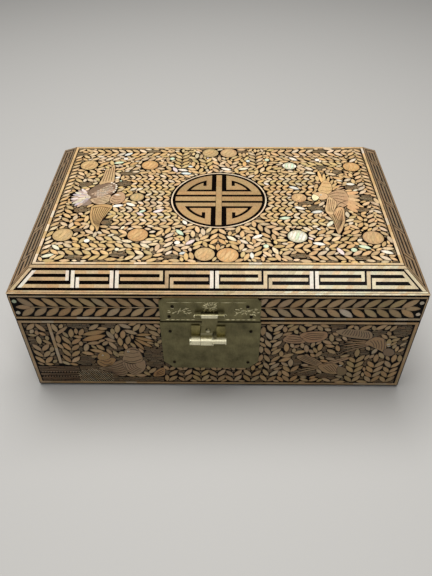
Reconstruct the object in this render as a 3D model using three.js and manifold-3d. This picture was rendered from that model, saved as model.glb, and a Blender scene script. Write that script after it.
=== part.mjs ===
// A lacquered wooden jewelry box with inlaid panels, a hinged lid and a hasp lock on its front.
// Millimetres, +Z up, front towards -Y. The origin is the centre of the underside.

import * as THREE from 'three';
import { mergeVertices } from 'three/addons/utils/BufferGeometryUtils.js';
import Module from 'manifold-3d';

const wasm = await Module();
wasm.setup();

// Box body: an open hollow box on a thin plinth
const BOX_WIDTH = 300;
const BOX_DEPTH = 200;
const BODY_HEIGHT = 77.7;
const WALL = 9;
const FLOOR_THICKNESS = 7;
const EDGE_RADIUS = 1.2;
const CAVITY_RADIUS = 2;
const PLINTH_HEIGHT = 2;
const PLINTH_INSET = 2;

// Lid: upright band, then a sloping border up to the flat top, hollow below
const LID_BAND_HEIGHT = 26.5;
const LID_SLOPE_RISE = 13;
const LID_SLOPE_INSET = 17;
const LID_WALL = 9;
const LID_PANEL = 8;
const LID_GAP = 0.5;

// Clearances
const SEAT_GAP = 0.3;
const SIDE_GAP = 0.4;
const PIN_CLEARANCE = 0.3;
const HOLE_CLEARANCE = 0.3;
const CUT_OVERSHOOT = 1;

// Lock plates on the front, measured from the seam between body and lid
const LOCK_X = -5;
const PLATE_THICKNESS = 1;
const PLATE_EDGE_GAP = 0.5;
const UPPER_PLATE_WIDTH = 73.5;
const UPPER_PLATE_HEIGHT = 23;
const UPPER_CORNER_CUT = 3;
const LOWER_PLATE_WIDTH = 75;
const LOWER_PLATE_HEIGHT = 53.5;
const LOWER_CORNER_CUT = 8;

// Plate nails: half spacing across the plate, and height above or depth below the seam
const NAIL_HEAD_RADIUS = 1.3;
const NAIL_HEAD_RISE = 0.7;
const NAIL_SHANK_RADIUS = 0.7;
const NAIL_LENGTH = 6;
const UPPER_NAIL_HIGH = { spread: 27.2, rise: 16 };
const UPPER_NAIL_LOW = { spread: 30, rise: 5.6 };
const LOWER_NAIL_HIGH = { spread: 30.3, drop: 10.4 };
const LOWER_NAIL_LOW = { spread: 29.2, drop: 46.9 };

// Hasp: a strap that hangs from a pin in the upper plate and hooks over the lock pin
const HASP_AXIS_RISE = 8.8;
const HASP_TOP_X = -0.4;
const HASP_TOP_WIDTH = 11.6;
const HASP_EYE_X = -3.1;
const HASP_EYE_WIDTH = 8.4;
const HASP_THICKNESS = 1;
const HASP_KNUCKLE_RADIUS = 1.9;
const HASP_PIN_RADIUS = 0.8;
const HASP_PIN_OVERHANG = 0.3;
const FIXED_KNUCKLE_WIDTH = 4.4;
const HASP_BEND_DROP = 3.2;
const HASP_TAPER_HEIGHT = 11;
const HASP_CREASE_RISE = 4.8;
const HASP_LIP = 1.5;
const BOSS_RADIUS = 2.2;
const BOSS_RISE = 1.3;
const BOSS_ABOVE_CREASE = 4.6;

// Lock pin, through the two staples on the lower plate
const LOCK_PIN_DROP = 16.4;
const LOCK_PIN_PROUD = 6;
const LOCK_PIN_RADIUS = 1.3;
const LOCK_HEAD_RADIUS = 2.9;
const LOCK_HEAD_THICKNESS = 0.9;
const EYE_CLEARANCE = 0.5;

// Staples: a leaf on the lower plate, bent out at the foot and rolled into a barrel
const STAPLE_THICKNESS = 0.8;
const STAPLE_LEAF_HEIGHT = 10.4;
const LEFT_BARREL_RADIUS = 2.9;
const LEFT_BARREL_LENGTH = 6.6;
const RIGHT_BARREL_RADIUS = 2.1;
const RIGHT_BARREL_LENGTH = 9;
const RIGHT_FLANGE_RADIUS = 3.3;
const RIGHT_COLLAR_RADIUS = 2.6;
const FLANGE_THICKNESS = 0.7;
const RIGHT_LEAF_WIDTH = 6.6;

// Back hinges: two butt hinges across the seam
const HINGE_FROM_SIDE = 60;
const HINGE_WIDTH = 34;
const HINGE_LEAF_HEIGHT = 16;
const HINGE_THICKNESS = 1.2;
const HINGE_KNUCKLE_RADIUS = 2.2;
const HINGE_PIN_RADIUS = 1.1;
const HINGE_PIN_OVERHANG = 0.6;
const HINGE_SCREW_FROM_END = 6;
const HINGE_SCREW_RISE = 10;

// Fineness of the round forms
const KNUCKLE_SIDES = 20;
const NAIL_SIDES = 12;
const CORNER_STEPS = 4;
const BOSS_STEPS = 5;

// Places worked out from the sizes
const BODY_FOOT = PLINTH_HEIGHT + SEAT_GAP;
const BODY_TOP = BODY_FOOT + BODY_HEIGHT;
const LID_FOOT = BODY_TOP + LID_GAP;
const SEAM = BODY_TOP + LID_GAP / 2;
const LID_RIM = LID_FOOT + LID_BAND_HEIGHT;
const LID_TOP = LID_RIM + LID_SLOPE_RISE;
const FRONT = -BOX_DEPTH / 2;
const BACK = BOX_DEPTH / 2;
const PLATE_FACE = SEAT_GAP + PLATE_THICKNESS;
const UPPER_PLATE_FOOT = LID_FOOT + PLATE_EDGE_GAP;
const LOWER_PLATE_TOP = BODY_TOP - PLATE_EDGE_GAP;
const HASP_AXIS = { out: PLATE_FACE + SIDE_GAP + HASP_KNUCKLE_RADIUS, z: SEAM + HASP_AXIS_RISE };
const PIN_AXIS = { out: LOCK_PIN_PROUD, z: SEAM - LOCK_PIN_DROP };
const HINGE_X = BOX_WIDTH / 2 - HINGE_FROM_SIDE;
const HINGE_AXIS = { y: BACK + SEAT_GAP + HINGE_KNUCKLE_RADIUS, z: SEAM };

function finish(color, roughness, metalness) {
  return new THREE.MeshStandardMaterial({ color, roughness, metalness, flatShading: true });
}

const lacquer = finish(0x2a1c12, 0.35, 0);
const plinthLacquer = finish(0x14100c, 0.5, 0);
const agedBrass = finish(0x5c563f, 0.45, 0.85);
const wornBrass = finish(0x968a5c, 0.35, 0.9);
const darkIron = finish(0x1d1a12, 0.6, 0.7);

const box = new THREE.Group();

function add(name, geometry, material) {
  const mesh = new THREE.Mesh(geometry, material.clone());
  mesh.name = name;
  box.add(mesh);
  return mesh;
}

function solid(geometry) {
  const bare = geometry.clone();
  bare.deleteAttribute('normal');
  bare.deleteAttribute('uv');
  const merged = mergeVertices(bare, 1e-4);
  return new wasm.Manifold(new wasm.Mesh({
    numProp: 3,
    vertProperties: new Float32Array(merged.attributes.position.array),
    triVerts: new Uint32Array(merged.index.array),
  }));
}

function surface(manifold) {
  const mesh = manifold.getMesh();
  const geometry = new THREE.BufferGeometry();
  geometry.setAttribute('position', new THREE.BufferAttribute(new Float32Array(mesh.vertProperties), 3));
  geometry.setIndex(new THREE.BufferAttribute(new Uint32Array(mesh.triVerts), 1));
  geometry.computeVertexNormals();
  return geometry;
}

function join(geometries) {
  return geometries.map(solid).reduce((whole, piece) => whole.add(piece));
}

// The outline of a rectangle with rounded corners, anticlockwise
function roundedRectangle(halfX, halfY, radius) {
  const shape = new THREE.Shape();
  const corners = [[1, -1, -0.5], [1, 1, 0], [-1, 1, 0.5], [-1, -1, 1]];
  for (const [sideX, sideY, turn] of corners) {
    const centre = [sideX * (halfX - radius), sideY * (halfY - radius)];
    shape.absarc(centre[0], centre[1], radius, turn * Math.PI, (turn + 0.5) * Math.PI, false);
  }
  return shape.getPoints(CORNER_STEPS);
}

// A closed block through rounded rectangles of one corner count, from the lowest level up
function steppedBlock(levels) {
  const rings = levels.map((level) => roundedRectangle(level.halfX, level.halfY, level.radius)
    .map((point) => [point.x, point.y, level.z]));
  const count = rings[0].length;
  const positions = rings.flat(2);
  const index = [];
  for (let ring = 0; ring + 1 < rings.length; ring += 1) {
    for (let i = 0; i < count; i += 1) {
      const a = ring * count + i;
      const b = ring * count + (i + 1) % count;
      index.push(a, b, b + count, a, b + count, a + count);
    }
  }
  const last = (rings.length - 1) * count;
  for (let i = 1; i + 1 < count; i += 1) {
    index.push(0, i + 1, i);
    index.push(last, last + i, last + i + 1);
  }
  const geometry = new THREE.BufferGeometry();
  geometry.setAttribute('position', new THREE.Float32BufferAttribute(positions, 3));
  geometry.setIndex(index);
  return geometry;
}

function block(low, high) {
  const size = high.map((value, axis) => value - low[axis]);
  const middle = high.map((value, axis) => (value + low[axis]) / 2);
  return new THREE.BoxGeometry(...size).translate(...middle);
}

// A round bar along X
function bar(radius, fromX, toX, y, z, sides = KNUCKLE_SIDES) {
  return new THREE.CylinderGeometry(radius, radius, toX - fromX, sides)
    .rotateZ(Math.PI / 2)
    .translate((fromX + toX) / 2, y, z);
}

// A plate that lies on the front: its outline is drawn in x and z
function frontPlate(outline, thickness, out) {
  const shape = new THREE.Shape(outline.map(([x, z]) => new THREE.Vector2(x, z)));
  return new THREE.ExtrudeGeometry(shape, { depth: thickness, bevelEnabled: false })
    .rotateX(Math.PI / 2)
    .translate(0, FRONT - out, 0);
}

// A strip whose section is drawn by its distance out from the front and its height
function frontSection(outline, fromX, toX) {
  const shape = new THREE.Shape(outline.map(([out, z]) => new THREE.Vector2(out, z)));
  const geometry = new THREE.ExtrudeGeometry(shape, { depth: toX - fromX, bevelEnabled: false });
  const turn = new THREE.Matrix4().set(0, 0, -1, toX, -1, 0, 0, FRONT, 0, 1, 0, 0, 0, 0, 0, 1);
  return geometry.applyMatrix4(turn);
}

// A nail or screw: a low domed head with its shank behind it, pointing along +Y
function nailGeometry() {
  const profile = [new THREE.Vector2(0, -NAIL_LENGTH), new THREE.Vector2(NAIL_SHANK_RADIUS, -NAIL_LENGTH)];
  profile.push(new THREE.Vector2(NAIL_SHANK_RADIUS, 0), new THREE.Vector2(NAIL_HEAD_RADIUS, 0));
  const steps = 3;
  for (let i = 1; i < steps; i += 1) {
    const angle = (i / steps) * Math.PI / 2;
    profile.push(new THREE.Vector2(NAIL_HEAD_RADIUS * Math.cos(angle), NAIL_HEAD_RISE * Math.sin(angle)));
  }
  profile.push(new THREE.Vector2(0, NAIL_HEAD_RISE));
  return new THREE.LatheGeometry(profile, NAIL_SIDES).rotateX(Math.PI);
}

// Drills a nail's hole, from outside the given face to just past the shank's tip
function nailHole(x, faceY, z, side) {
  const radius = NAIL_SHANK_RADIUS + HOLE_CLEARANCE;
  const outside = faceY - side * (PLATE_FACE + CUT_OVERSHOOT);
  const inside = faceY + side * (NAIL_LENGTH + SEAT_GAP);
  return solid(new THREE.CylinderGeometry(radius, radius, Math.abs(inside - outside), NAIL_SIDES)
    .translate(x, (outside + inside) / 2, z));
}

const upperNails = [UPPER_NAIL_HIGH, UPPER_NAIL_LOW].flatMap(({ spread, rise }) => [
  { x: LOCK_X - spread, z: SEAM + rise },
  { x: LOCK_X + spread, z: SEAM + rise },
]);
const lowerNails = [LOWER_NAIL_HIGH, LOWER_NAIL_LOW].flatMap(({ spread, drop }) => [
  { x: LOCK_X - spread, z: SEAM - drop },
  { x: LOCK_X + spread, z: SEAM - drop },
]);
const hingeScrews = [-1, 1].flatMap((hinge) => [-1, 1].map((side) => ({
  x: hinge * HINGE_X + side * (HINGE_WIDTH / 2 - HINGE_SCREW_FROM_END),
  hinge,
  side,
})));

function drill(whole, nails, faceY, side) {
  return nails.reduce((rest, nail) => rest.subtract(nailHole(nail.x, faceY, nail.z, side)), whole);
}

function makeBody() {
  const outer = solid(steppedBlock([BODY_FOOT, BODY_TOP].map((z) => (
    { halfX: BOX_WIDTH / 2, halfY: BOX_DEPTH / 2, radius: EDGE_RADIUS, z }))));
  const cavity = solid(steppedBlock([BODY_FOOT + FLOOR_THICKNESS, BODY_TOP + CUT_OVERSHOOT].map((z) => (
    { halfX: BOX_WIDTH / 2 - WALL, halfY: BOX_DEPTH / 2 - WALL, radius: CAVITY_RADIUS, z }))));
  const screws = hingeScrews.map(({ x }) => ({ x, z: SEAM - HINGE_SCREW_RISE }));
  const hollow = drill(drill(outer.subtract(cavity), lowerNails, FRONT, 1), screws, BACK, -1);
  add('box_body', surface(hollow), lacquer);
  const plinth = steppedBlock([0, PLINTH_HEIGHT].map((z) => (
    { halfX: BOX_WIDTH / 2 - PLINTH_INSET, halfY: BOX_DEPTH / 2 - PLINTH_INSET, radius: EDGE_RADIUS, z })));
  add('base_plinth', plinth, plinthLacquer);
}

function makeLid() {
  const halfX = BOX_WIDTH / 2;
  const halfY = BOX_DEPTH / 2;
  const outer = solid(steppedBlock([
    { halfX, halfY, radius: EDGE_RADIUS, z: LID_FOOT },
    { halfX, halfY, radius: EDGE_RADIUS, z: LID_RIM },
    { halfX: halfX - LID_SLOPE_INSET, halfY: halfY - LID_SLOPE_INSET, radius: EDGE_RADIUS, z: LID_TOP },
  ]));
  // The hollow follows the slope at the thickness of the panel
  const slope = Math.hypot(LID_SLOPE_INSET, LID_SLOPE_RISE);
  const sink = LID_PANEL * slope / LID_SLOPE_INSET;
  const ceiling = LID_TOP - LID_PANEL;
  const insetAt = (z) => (z - LID_RIM + sink) * LID_SLOPE_INSET / LID_SLOPE_RISE;
  const spring = LID_RIM - sink + LID_WALL * LID_SLOPE_RISE / LID_SLOPE_INSET;
  const inner = (inset, z) => ({ halfX: halfX - inset, halfY: halfY - inset, radius: CAVITY_RADIUS, z });
  const cavity = solid(steppedBlock([
    inner(LID_WALL, LID_FOOT - CUT_OVERSHOOT),
    inner(LID_WALL, spring),
    inner(insetAt(ceiling), ceiling),
  ]));
  const screws = hingeScrews.map(({ x }) => ({ x, z: SEAM + HINGE_SCREW_RISE }));
  const hollow = drill(drill(outer.subtract(cavity), upperNails, FRONT, 1), screws, BACK, -1);
  add('lid', surface(hollow), lacquer);
}

const haspTop = {
  left: LOCK_X + HASP_TOP_X - HASP_TOP_WIDTH / 2,
  right: LOCK_X + HASP_TOP_X + HASP_TOP_WIDTH / 2,
};
const haspEye = {
  left: LOCK_X + HASP_EYE_X - HASP_EYE_WIDTH / 2,
  right: LOCK_X + HASP_EYE_X + HASP_EYE_WIDTH / 2,
};

function makeUpperPlate() {
  const left = LOCK_X - UPPER_PLATE_WIDTH / 2;
  const right = LOCK_X + UPPER_PLATE_WIDTH / 2;
  const foot = UPPER_PLATE_FOOT;
  const top = foot + UPPER_PLATE_HEIGHT;
  const cut = UPPER_CORNER_CUT;
  const plate = solid(frontPlate([
    [left, foot], [right, foot], [right, top - cut], [right - cut, top],
    [left + cut, top], [left, top - cut],
  ], PLATE_THICKNESS, SEAT_GAP));
  const y = FRONT - HASP_AXIS.out;
  const spans = [
    [haspTop.left - SIDE_GAP - FIXED_KNUCKLE_WIDTH, haspTop.left - SIDE_GAP],
    [haspTop.right + SIDE_GAP, haspTop.right + SIDE_GAP + FIXED_KNUCKLE_WIDTH],
  ];
  const boreRadius = HASP_PIN_RADIUS + PIN_CLEARANCE;
  let whole = plate;
  for (const [fromX, toX] of spans) {
    const web = block(
      [fromX, y, HASP_AXIS.z + boreRadius],
      [toX, FRONT - SEAT_GAP - PLATE_THICKNESS / 2, HASP_AXIS.z + HASP_KNUCKLE_RADIUS],
    );
    whole = whole.add(solid(bar(HASP_KNUCKLE_RADIUS, fromX, toX, y, HASP_AXIS.z))).add(solid(web));
    whole = whole.subtract(solid(bar(
      boreRadius,
      fromX - CUT_OVERSHOOT,
      toX + CUT_OVERSHOOT,
      y,
      HASP_AXIS.z,
    )));
  }
  add('upper_lock_plate', surface(drill(whole, upperNails, FRONT, 1)), agedBrass);
  const pinFrom = spans[0][0] - HASP_PIN_OVERHANG;
  const pinTo = spans[1][1] + HASP_PIN_OVERHANG;
  add('hasp_hinge_pin', bar(HASP_PIN_RADIUS, pinFrom, pinTo, y, HASP_AXIS.z), wornBrass);
}

function makeLowerPlate() {
  const left = LOCK_X - LOWER_PLATE_WIDTH / 2;
  const right = LOCK_X + LOWER_PLATE_WIDTH / 2;
  const top = LOWER_PLATE_TOP;
  const foot = top - LOWER_PLATE_HEIGHT;
  const cut = LOWER_CORNER_CUT;
  const plate = solid(frontPlate([
    [left + cut, foot], [right - cut, foot], [right, foot + cut], [right, top],
    [left, top], [left, foot + cut],
  ], PLATE_THICKNESS, SEAT_GAP));
  add('lower_lock_plate', surface(drill(plate, lowerNails, FRONT, 1)), agedBrass);
}

// One staple: a leaf flat on the lower plate, a tongue out of its foot and a barrel for the lock pin
function stapleSolid(radius, barrelFrom, barrelTo, leafFrom, leafTo) {
  const back = PLATE_FACE + SEAT_GAP;
  const tongueTop = PIN_AXIS.z + radius;
  const leaf = block(
    [leafFrom, FRONT - back - STAPLE_THICKNESS, tongueTop - STAPLE_THICKNESS],
    [leafTo, FRONT - back, tongueTop + STAPLE_LEAF_HEIGHT],
  );
  const tongue = block(
    [leafFrom, FRONT - PIN_AXIS.out, tongueTop - STAPLE_THICKNESS],
    [leafTo, FRONT - back, tongueTop],
  );
  const barrel = bar(radius, barrelFrom, barrelTo, FRONT - PIN_AXIS.out, PIN_AXIS.z);
  return join([leaf, tongue, barrel]);
}

function boreLockPin(whole, fromX, toX) {
  return whole.subtract(solid(bar(
    LOCK_PIN_RADIUS + PIN_CLEARANCE,
    fromX - CUT_OVERSHOOT,
    toX + CUT_OVERSHOOT,
    FRONT - PIN_AXIS.out,
    PIN_AXIS.z,
  )));
}

function makeStaplesAndLockPin() {
  const y = FRONT - PIN_AXIS.out;
  const leftTo = haspEye.left - SIDE_GAP;
  const leftFrom = leftTo - LEFT_BARREL_LENGTH;
  const left = stapleSolid(LEFT_BARREL_RADIUS, leftFrom, leftTo, leftFrom, leftTo);
  add('left_staple', surface(boreLockPin(left, leftFrom, leftTo)), wornBrass);

  const flangeFrom = haspEye.right + SIDE_GAP;
  const barrelFrom = flangeFrom + FLANGE_THICKNESS;
  const barrelTo = barrelFrom + RIGHT_BARREL_LENGTH;
  const collarTo = barrelTo + FLANGE_THICKNESS;
  const leafFrom = barrelTo - RIGHT_LEAF_WIDTH;
  const right = stapleSolid(RIGHT_BARREL_RADIUS, barrelFrom, barrelTo, leafFrom, barrelTo)
    .add(solid(bar(RIGHT_FLANGE_RADIUS, flangeFrom, barrelFrom, y, PIN_AXIS.z)))
    .add(solid(bar(RIGHT_COLLAR_RADIUS, barrelTo, collarTo, y, PIN_AXIS.z)));
  add('right_staple', surface(boreLockPin(right, flangeFrom, collarTo)), wornBrass);

  const headTo = leftFrom - SEAT_GAP;
  const headFrom = headTo - LOCK_HEAD_THICKNESS;
  const pin = join([
    bar(LOCK_HEAD_RADIUS, headFrom, headTo, y, PIN_AXIS.z),
    bar(LOCK_PIN_RADIUS, headFrom + LOCK_HEAD_THICKNESS / 2, collarTo, y, PIN_AXIS.z),
  ]);
  add('lock_pin', surface(pin), wornBrass);
}

// The middle line of the strap, down from its knuckle and over the lock pin: [out, z]
function haspLine() {
  const back = HASP_AXIS.out - HASP_KNUCKLE_RADIUS + HASP_THICKNESS / 2;
  const radius = LOCK_PIN_RADIUS + EYE_CLEARANCE + HASP_THICKNESS / 2;
  const hookStart = THREE.MathUtils.degToRad(125);
  const hookSteps = 8;
  const line = [[back, HASP_AXIS.z], [back, SEAM - HASP_BEND_DROP]];
  const creaseOut = PIN_AXIS.out + (radius + HASP_THICKNESS / 2) * Math.cos(hookStart);
  line.push([creaseOut, PIN_AXIS.z + HASP_CREASE_RISE]);
  for (let i = 0; i <= hookSteps; i += 1) {
    const angle = hookStart * (1 - i / hookSteps);
    line.push([PIN_AXIS.out + radius * Math.cos(angle), PIN_AXIS.z + radius * Math.sin(angle)]);
  }
  line.push([PIN_AXIS.out + radius, PIN_AXIS.z - HASP_LIP]);
  return line;
}

// Each stretch of the line is a flat bar with round ends, so that bends stay closed
function strapSolid(line, thickness, fromX, toX) {
  const pieces = [];
  for (let i = 0; i + 1 < line.length; i += 1) {
    const [out, z] = line[i];
    const along = [line[i + 1][0] - out, line[i + 1][1] - z];
    const length = Math.hypot(along[0], along[1]);
    const side = [(-along[1] / length) * thickness / 2, (along[0] / length) * thickness / 2];
    pieces.push(frontSection([
      [out - side[0], z - side[1]],
      [out - side[0] + along[0], z - side[1] + along[1]],
      [out + side[0] + along[0], z + side[1] + along[1]],
      [out + side[0], z + side[1]],
    ], fromX, toX));
    if (i > 0) {
      pieces.push(bar(thickness / 2, fromX, toX, FRONT - out, z, 12));
    }
  }
  return join(pieces);
}

function makeHasp() {
  const line = haspLine();
  const y = FRONT - HASP_AXIS.out;
  const fromX = Math.min(haspTop.left, haspEye.left);
  const toX = Math.max(haspTop.right, haspEye.right);
  const outMost = PIN_AXIS.out + BOX_DEPTH;
  const crease = line[2];
  const bend = line[1];
  const footZ = PIN_AXIS.z - HASP_LIP - HASP_THICKNESS;
  const topZ = HASP_AXIS.z + HASP_KNUCKLE_RADIUS + CUT_OVERSHOOT;
  const taperFoot = crease[1] + HASP_THICKNESS;
  const taperTop = taperFoot + HASP_TAPER_HEIGHT;
  const silhouette = solid(frontPlate([
    [haspEye.left, footZ], [haspEye.right, footZ], [haspEye.right, taperFoot], [haspTop.right, taperTop],
    [haspTop.right, topZ], [haspTop.left, topZ], [haspTop.left, taperTop], [haspEye.left, taperFoot],
  ], outMost, 0));
  const knuckle = solid(bar(HASP_KNUCKLE_RADIUS, fromX, toX, y, HASP_AXIS.z));
  const bore = solid(bar(
    HASP_PIN_RADIUS + PIN_CLEARANCE,
    fromX - CUT_OVERSHOOT,
    toX + CUT_OVERSHOOT,
    y,
    HASP_AXIS.z,
  ));
  const strap = strapSolid(line, HASP_THICKNESS, fromX, toX).add(knuckle).subtract(bore);

  // The boss stands square to the strap's slope
  const share = BOSS_ABOVE_CREASE / (bend[1] - crease[1]);
  const slopeTurn = Math.atan2(crease[0] - bend[0], bend[1] - crease[1]);
  const boss = new THREE.SphereGeometry(1, KNUCKLE_SIDES, 2 * BOSS_STEPS)
    .scale(BOSS_RADIUS, BOSS_RISE + HASP_THICKNESS / 2, BOSS_RADIUS)
    .rotateX(-slopeTurn)
    .translate(
      (haspEye.left + haspEye.right + haspTop.left + haspTop.right) / 4,
      FRONT - (crease[0] + share * (bend[0] - crease[0])),
      crease[1] + BOSS_ABOVE_CREASE,
    );
  const behind = solid(block(
    [fromX - CUT_OVERSHOOT, FRONT - PLATE_FACE - SIDE_GAP, footZ],
    [toX + CUT_OVERSHOOT, FRONT, topZ],
  ));
  add('hasp', surface(strap.intersect(silhouette).add(solid(boss)).subtract(behind)), agedBrass);
}

function makePlateNails() {
  const seat = FRONT - PLATE_FACE - SEAT_GAP;
  const named = [['upper', upperNails], ['lower', lowerNails]];
  for (const [plate, nails] of named) {
    nails.forEach((nail, i) => {
      const place = `${i < 2 ? 'high' : 'low'}_${i % 2 === 0 ? 'left' : 'right'}`;
      const mesh = add(`${plate}_plate_nail_${place}`, nailGeometry(), darkIron);
      mesh.position.set(nail.x, seat, nail.z);
    });
  }
}

// One leaf with its knuckles, drawn for the hinge in the middle; side is +1 for the lid's leaf
function hingeLeaf(side, centreX) {
  const { y, z } = HINGE_AXIS;
  const third = HINGE_WIDTH / 3;
  const spans = side > 0
    ? [[-third / 2 + SIDE_GAP / 2, third / 2 - SIDE_GAP / 2]]
    : [[-HINGE_WIDTH / 2, -third / 2 - SIDE_GAP / 2], [third / 2 + SIDE_GAP / 2, HINGE_WIDTH / 2]];
  const near = HINGE_KNUCKLE_RADIUS + SIDE_GAP;
  const face = BACK + SEAT_GAP;
  const low = Math.min(side * near, side * HINGE_LEAF_HEIGHT);
  const high = Math.max(side * near, side * HINGE_LEAF_HEIGHT);
  const pieces = [block(
    [centreX - HINGE_WIDTH / 2, face, z + low],
    [centreX + HINGE_WIDTH / 2, face + HINGE_THICKNESS, z + high],
  )];
  for (const [from, to] of spans) {
    const neck = side * (near + HINGE_THICKNESS);
    pieces.push(bar(HINGE_KNUCKLE_RADIUS, centreX + from, centreX + to, y, z));
    pieces.push(block(
      [centreX + from, face, z + Math.min(0, neck)],
      [centreX + to, face + HINGE_THICKNESS, z + Math.max(0, neck)],
    ));
  }
  const bore = bar(
    HINGE_PIN_RADIUS + PIN_CLEARANCE,
    centreX - HINGE_WIDTH / 2 - CUT_OVERSHOOT,
    centreX + HINGE_WIDTH / 2 + CUT_OVERSHOOT,
    y,
    z,
  );
  return join(pieces).subtract(solid(bore));
}

function makeBackHinges() {
  const seat = BACK + SEAT_GAP + HINGE_THICKNESS + SEAT_GAP;
  for (const hinge of [-1, 1]) {
    const word = hinge < 0 ? 'left' : 'right';
    const centreX = hinge * HINGE_X;
    for (const side of [-1, 1]) {
      const level = side > 0 ? 'lid' : 'body';
      const screws = hingeScrews.filter((screw) => screw.hinge === hinge)
        .map(({ x }) => ({ x, z: SEAM + side * HINGE_SCREW_RISE }));
      const leaf = drill(hingeLeaf(side, centreX), screws, BACK, -1);
      add(`${word}_hinge_${level}_leaf`, surface(leaf), agedBrass);
      screws.forEach(({ x, z }, i) => {
        const mesh = add(`${word}_hinge_${level}_nail_${i + 1}`, nailGeometry(), darkIron);
        mesh.position.set(x, seat, z);
        mesh.rotation.z = Math.PI;
      });
    }
    const from = centreX - HINGE_WIDTH / 2 - HINGE_PIN_OVERHANG;
    const to = centreX + HINGE_WIDTH / 2 + HINGE_PIN_OVERHANG;
    add(`${word}_hinge_pin`, bar(HINGE_PIN_RADIUS, from, to, HINGE_AXIS.y, HINGE_AXIS.z), wornBrass);
  }
}

makeBody();
makeLid();
makeLowerPlate();
makeUpperPlate();
makeStaplesAndLockPin();
makeHasp();
makePlateNails();
makeBackHinges();

export default box;
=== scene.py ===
"""Looks of the lacquer jewelry box: shell inlay, lacquer, aged brass and a plain studio."""

import math

import bpy
import numpy as np
from bpy.props import FloatProperty, FloatVectorProperty, IntProperty, PointerProperty
from mathutils import Matrix, Vector


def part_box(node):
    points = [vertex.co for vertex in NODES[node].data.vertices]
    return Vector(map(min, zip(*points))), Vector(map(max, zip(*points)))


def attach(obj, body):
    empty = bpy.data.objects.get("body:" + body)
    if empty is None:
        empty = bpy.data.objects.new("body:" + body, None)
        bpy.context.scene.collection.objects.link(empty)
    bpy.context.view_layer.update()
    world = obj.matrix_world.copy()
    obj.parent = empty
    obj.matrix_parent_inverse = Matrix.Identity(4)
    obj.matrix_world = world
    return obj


bl_info = {
    "name": "Lacquer jewelry box",
    "version": (1, 0, 0),
    "blender": (4, 5, 0),
    "location": "View3D > Sidebar > Jewelry box",
    "description": "Makes the inlay, the finishes and the studio of a lacquer jewelry box",
    "category": "Object",
}

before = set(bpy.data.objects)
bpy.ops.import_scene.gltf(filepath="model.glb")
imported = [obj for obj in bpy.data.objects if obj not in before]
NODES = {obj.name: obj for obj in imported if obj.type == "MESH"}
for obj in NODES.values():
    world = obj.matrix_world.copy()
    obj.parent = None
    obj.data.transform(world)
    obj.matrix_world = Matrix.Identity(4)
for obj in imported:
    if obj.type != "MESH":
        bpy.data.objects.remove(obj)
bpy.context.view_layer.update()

# Panels and plates are drawn in millimetres, and Blender works in metres
MM = 0.001

LID_LOW, LID_HIGH = (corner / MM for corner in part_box("lid"))
BODY_LOW, BODY_HIGH = (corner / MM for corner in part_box("box_body"))


def lid_profile():
    """The height of the lid's rim, and how far the flat top lies in from it."""
    points = [vertex.co / MM for vertex in NODES["lid"].data.vertices]
    near = 0.01
    rim = max(point.z for point in points if point.x > LID_HIGH.x - near)
    inset = LID_HIGH.x - max(point.x for point in points if point.z > LID_HIGH.z - near)
    return rim, inset


LID_RIM, SLOPE_INSET = lid_profile()
SLOPE_RISE = LID_HIGH.z - LID_RIM
SLOPE_LENGTH = math.hypot(SLOPE_INSET, SLOPE_RISE)
MITRE = SLOPE_INSET / SLOPE_LENGTH

# Outward direction of each upright side
SIDES = {"front": (0, -1), "right": (1, 0), "back": (0, 1), "left": (-1, 0)}

# The kinds of plate that Geometry Nodes place
LEAF, DISC, TILE = range(3)

# The top's leaves are set closer than those of the walls: their share of the gap
CLOSE_SET = 0.6

# Length and width of a leaf on the body's walls
WALL_LEAF = (10.4, 4.3)

# How quickly a leaf narrows to its tips
LEAF_SHARPNESS = 1.75


def srgb(red, green, blue):
    """A colour from 0 to 255 on a screen, as Blender's linear values."""
    return tuple((channel / 255) ** 2.2 for channel in (red, green, blue))


def length_property(name, description, millimetres):
    return FloatProperty(name=name, description=description, default=millimetres * MM, unit="LENGTH")


def power_property(name, description, watts):
    return FloatProperty(name=name, description=description, default=watts, unit="POWER")


def colour_property(name, description, *screen):
    return FloatVectorProperty(name=name, description=description, default=srgb(*screen), size=3,
                               subtype="COLOR")


class InlaySizes(bpy.types.PropertyGroup):
    """Sizes of the shell plates and the spaces between them."""

    leaf_length: length_property("Leaf length", "Length of a leaf on the top", 9.2)
    leaf_width: length_property("Leaf width", "Width of a leaf on the top", 3.75)
    plate_height: length_property("Plate height", "How far the shell stands out of the lacquer", 0.16)
    strip_width: length_property("Strip width", "Width of the strips round the flat top", 2.1)
    gap: length_property("Gap", "Dark line left around each plate", 0.34)
    seed: IntProperty(name="Seed", description="Start of the random draws", default=7)


class Colours(bpy.types.PropertyGroup):
    """Colours of the shell, the lacquer, the metal and the floor."""

    shell: colour_property("Tan shell", "Most plates", 202, 167, 118)
    ochre: colour_property("Ochre shell", "The warmer plates", 202, 162, 108)
    olive: colour_property("Olive shell", "The greener plates", 198, 168, 112)
    mauve: colour_property("Mauve shell", "The redder, greyer plates", 198, 164, 122)
    pearl: colour_property("White shell", "The bright plates", 238, 226, 208)
    lacquer: colour_property("Lacquer", "The dark ground", 13, 8, 5)
    brass: colour_property("Aged brass", "The lock plates and the hinges", 114, 108, 77)
    # A pale cream for the rolls and pins: partly brass rubbed bright, partly a painted highlight
    worn_brass: colour_property("Worn brass", "Rolls and pins", 250, 242, 204)
    staple: colour_property("Staple brass", "The staples' leaves", 134, 126, 84)
    hatching: colour_property("Hatching", "The fine lines between the leaves", 152, 128, 96)
    floor: colour_property("Floor", "The pale floor", 180, 178, 174)


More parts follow.
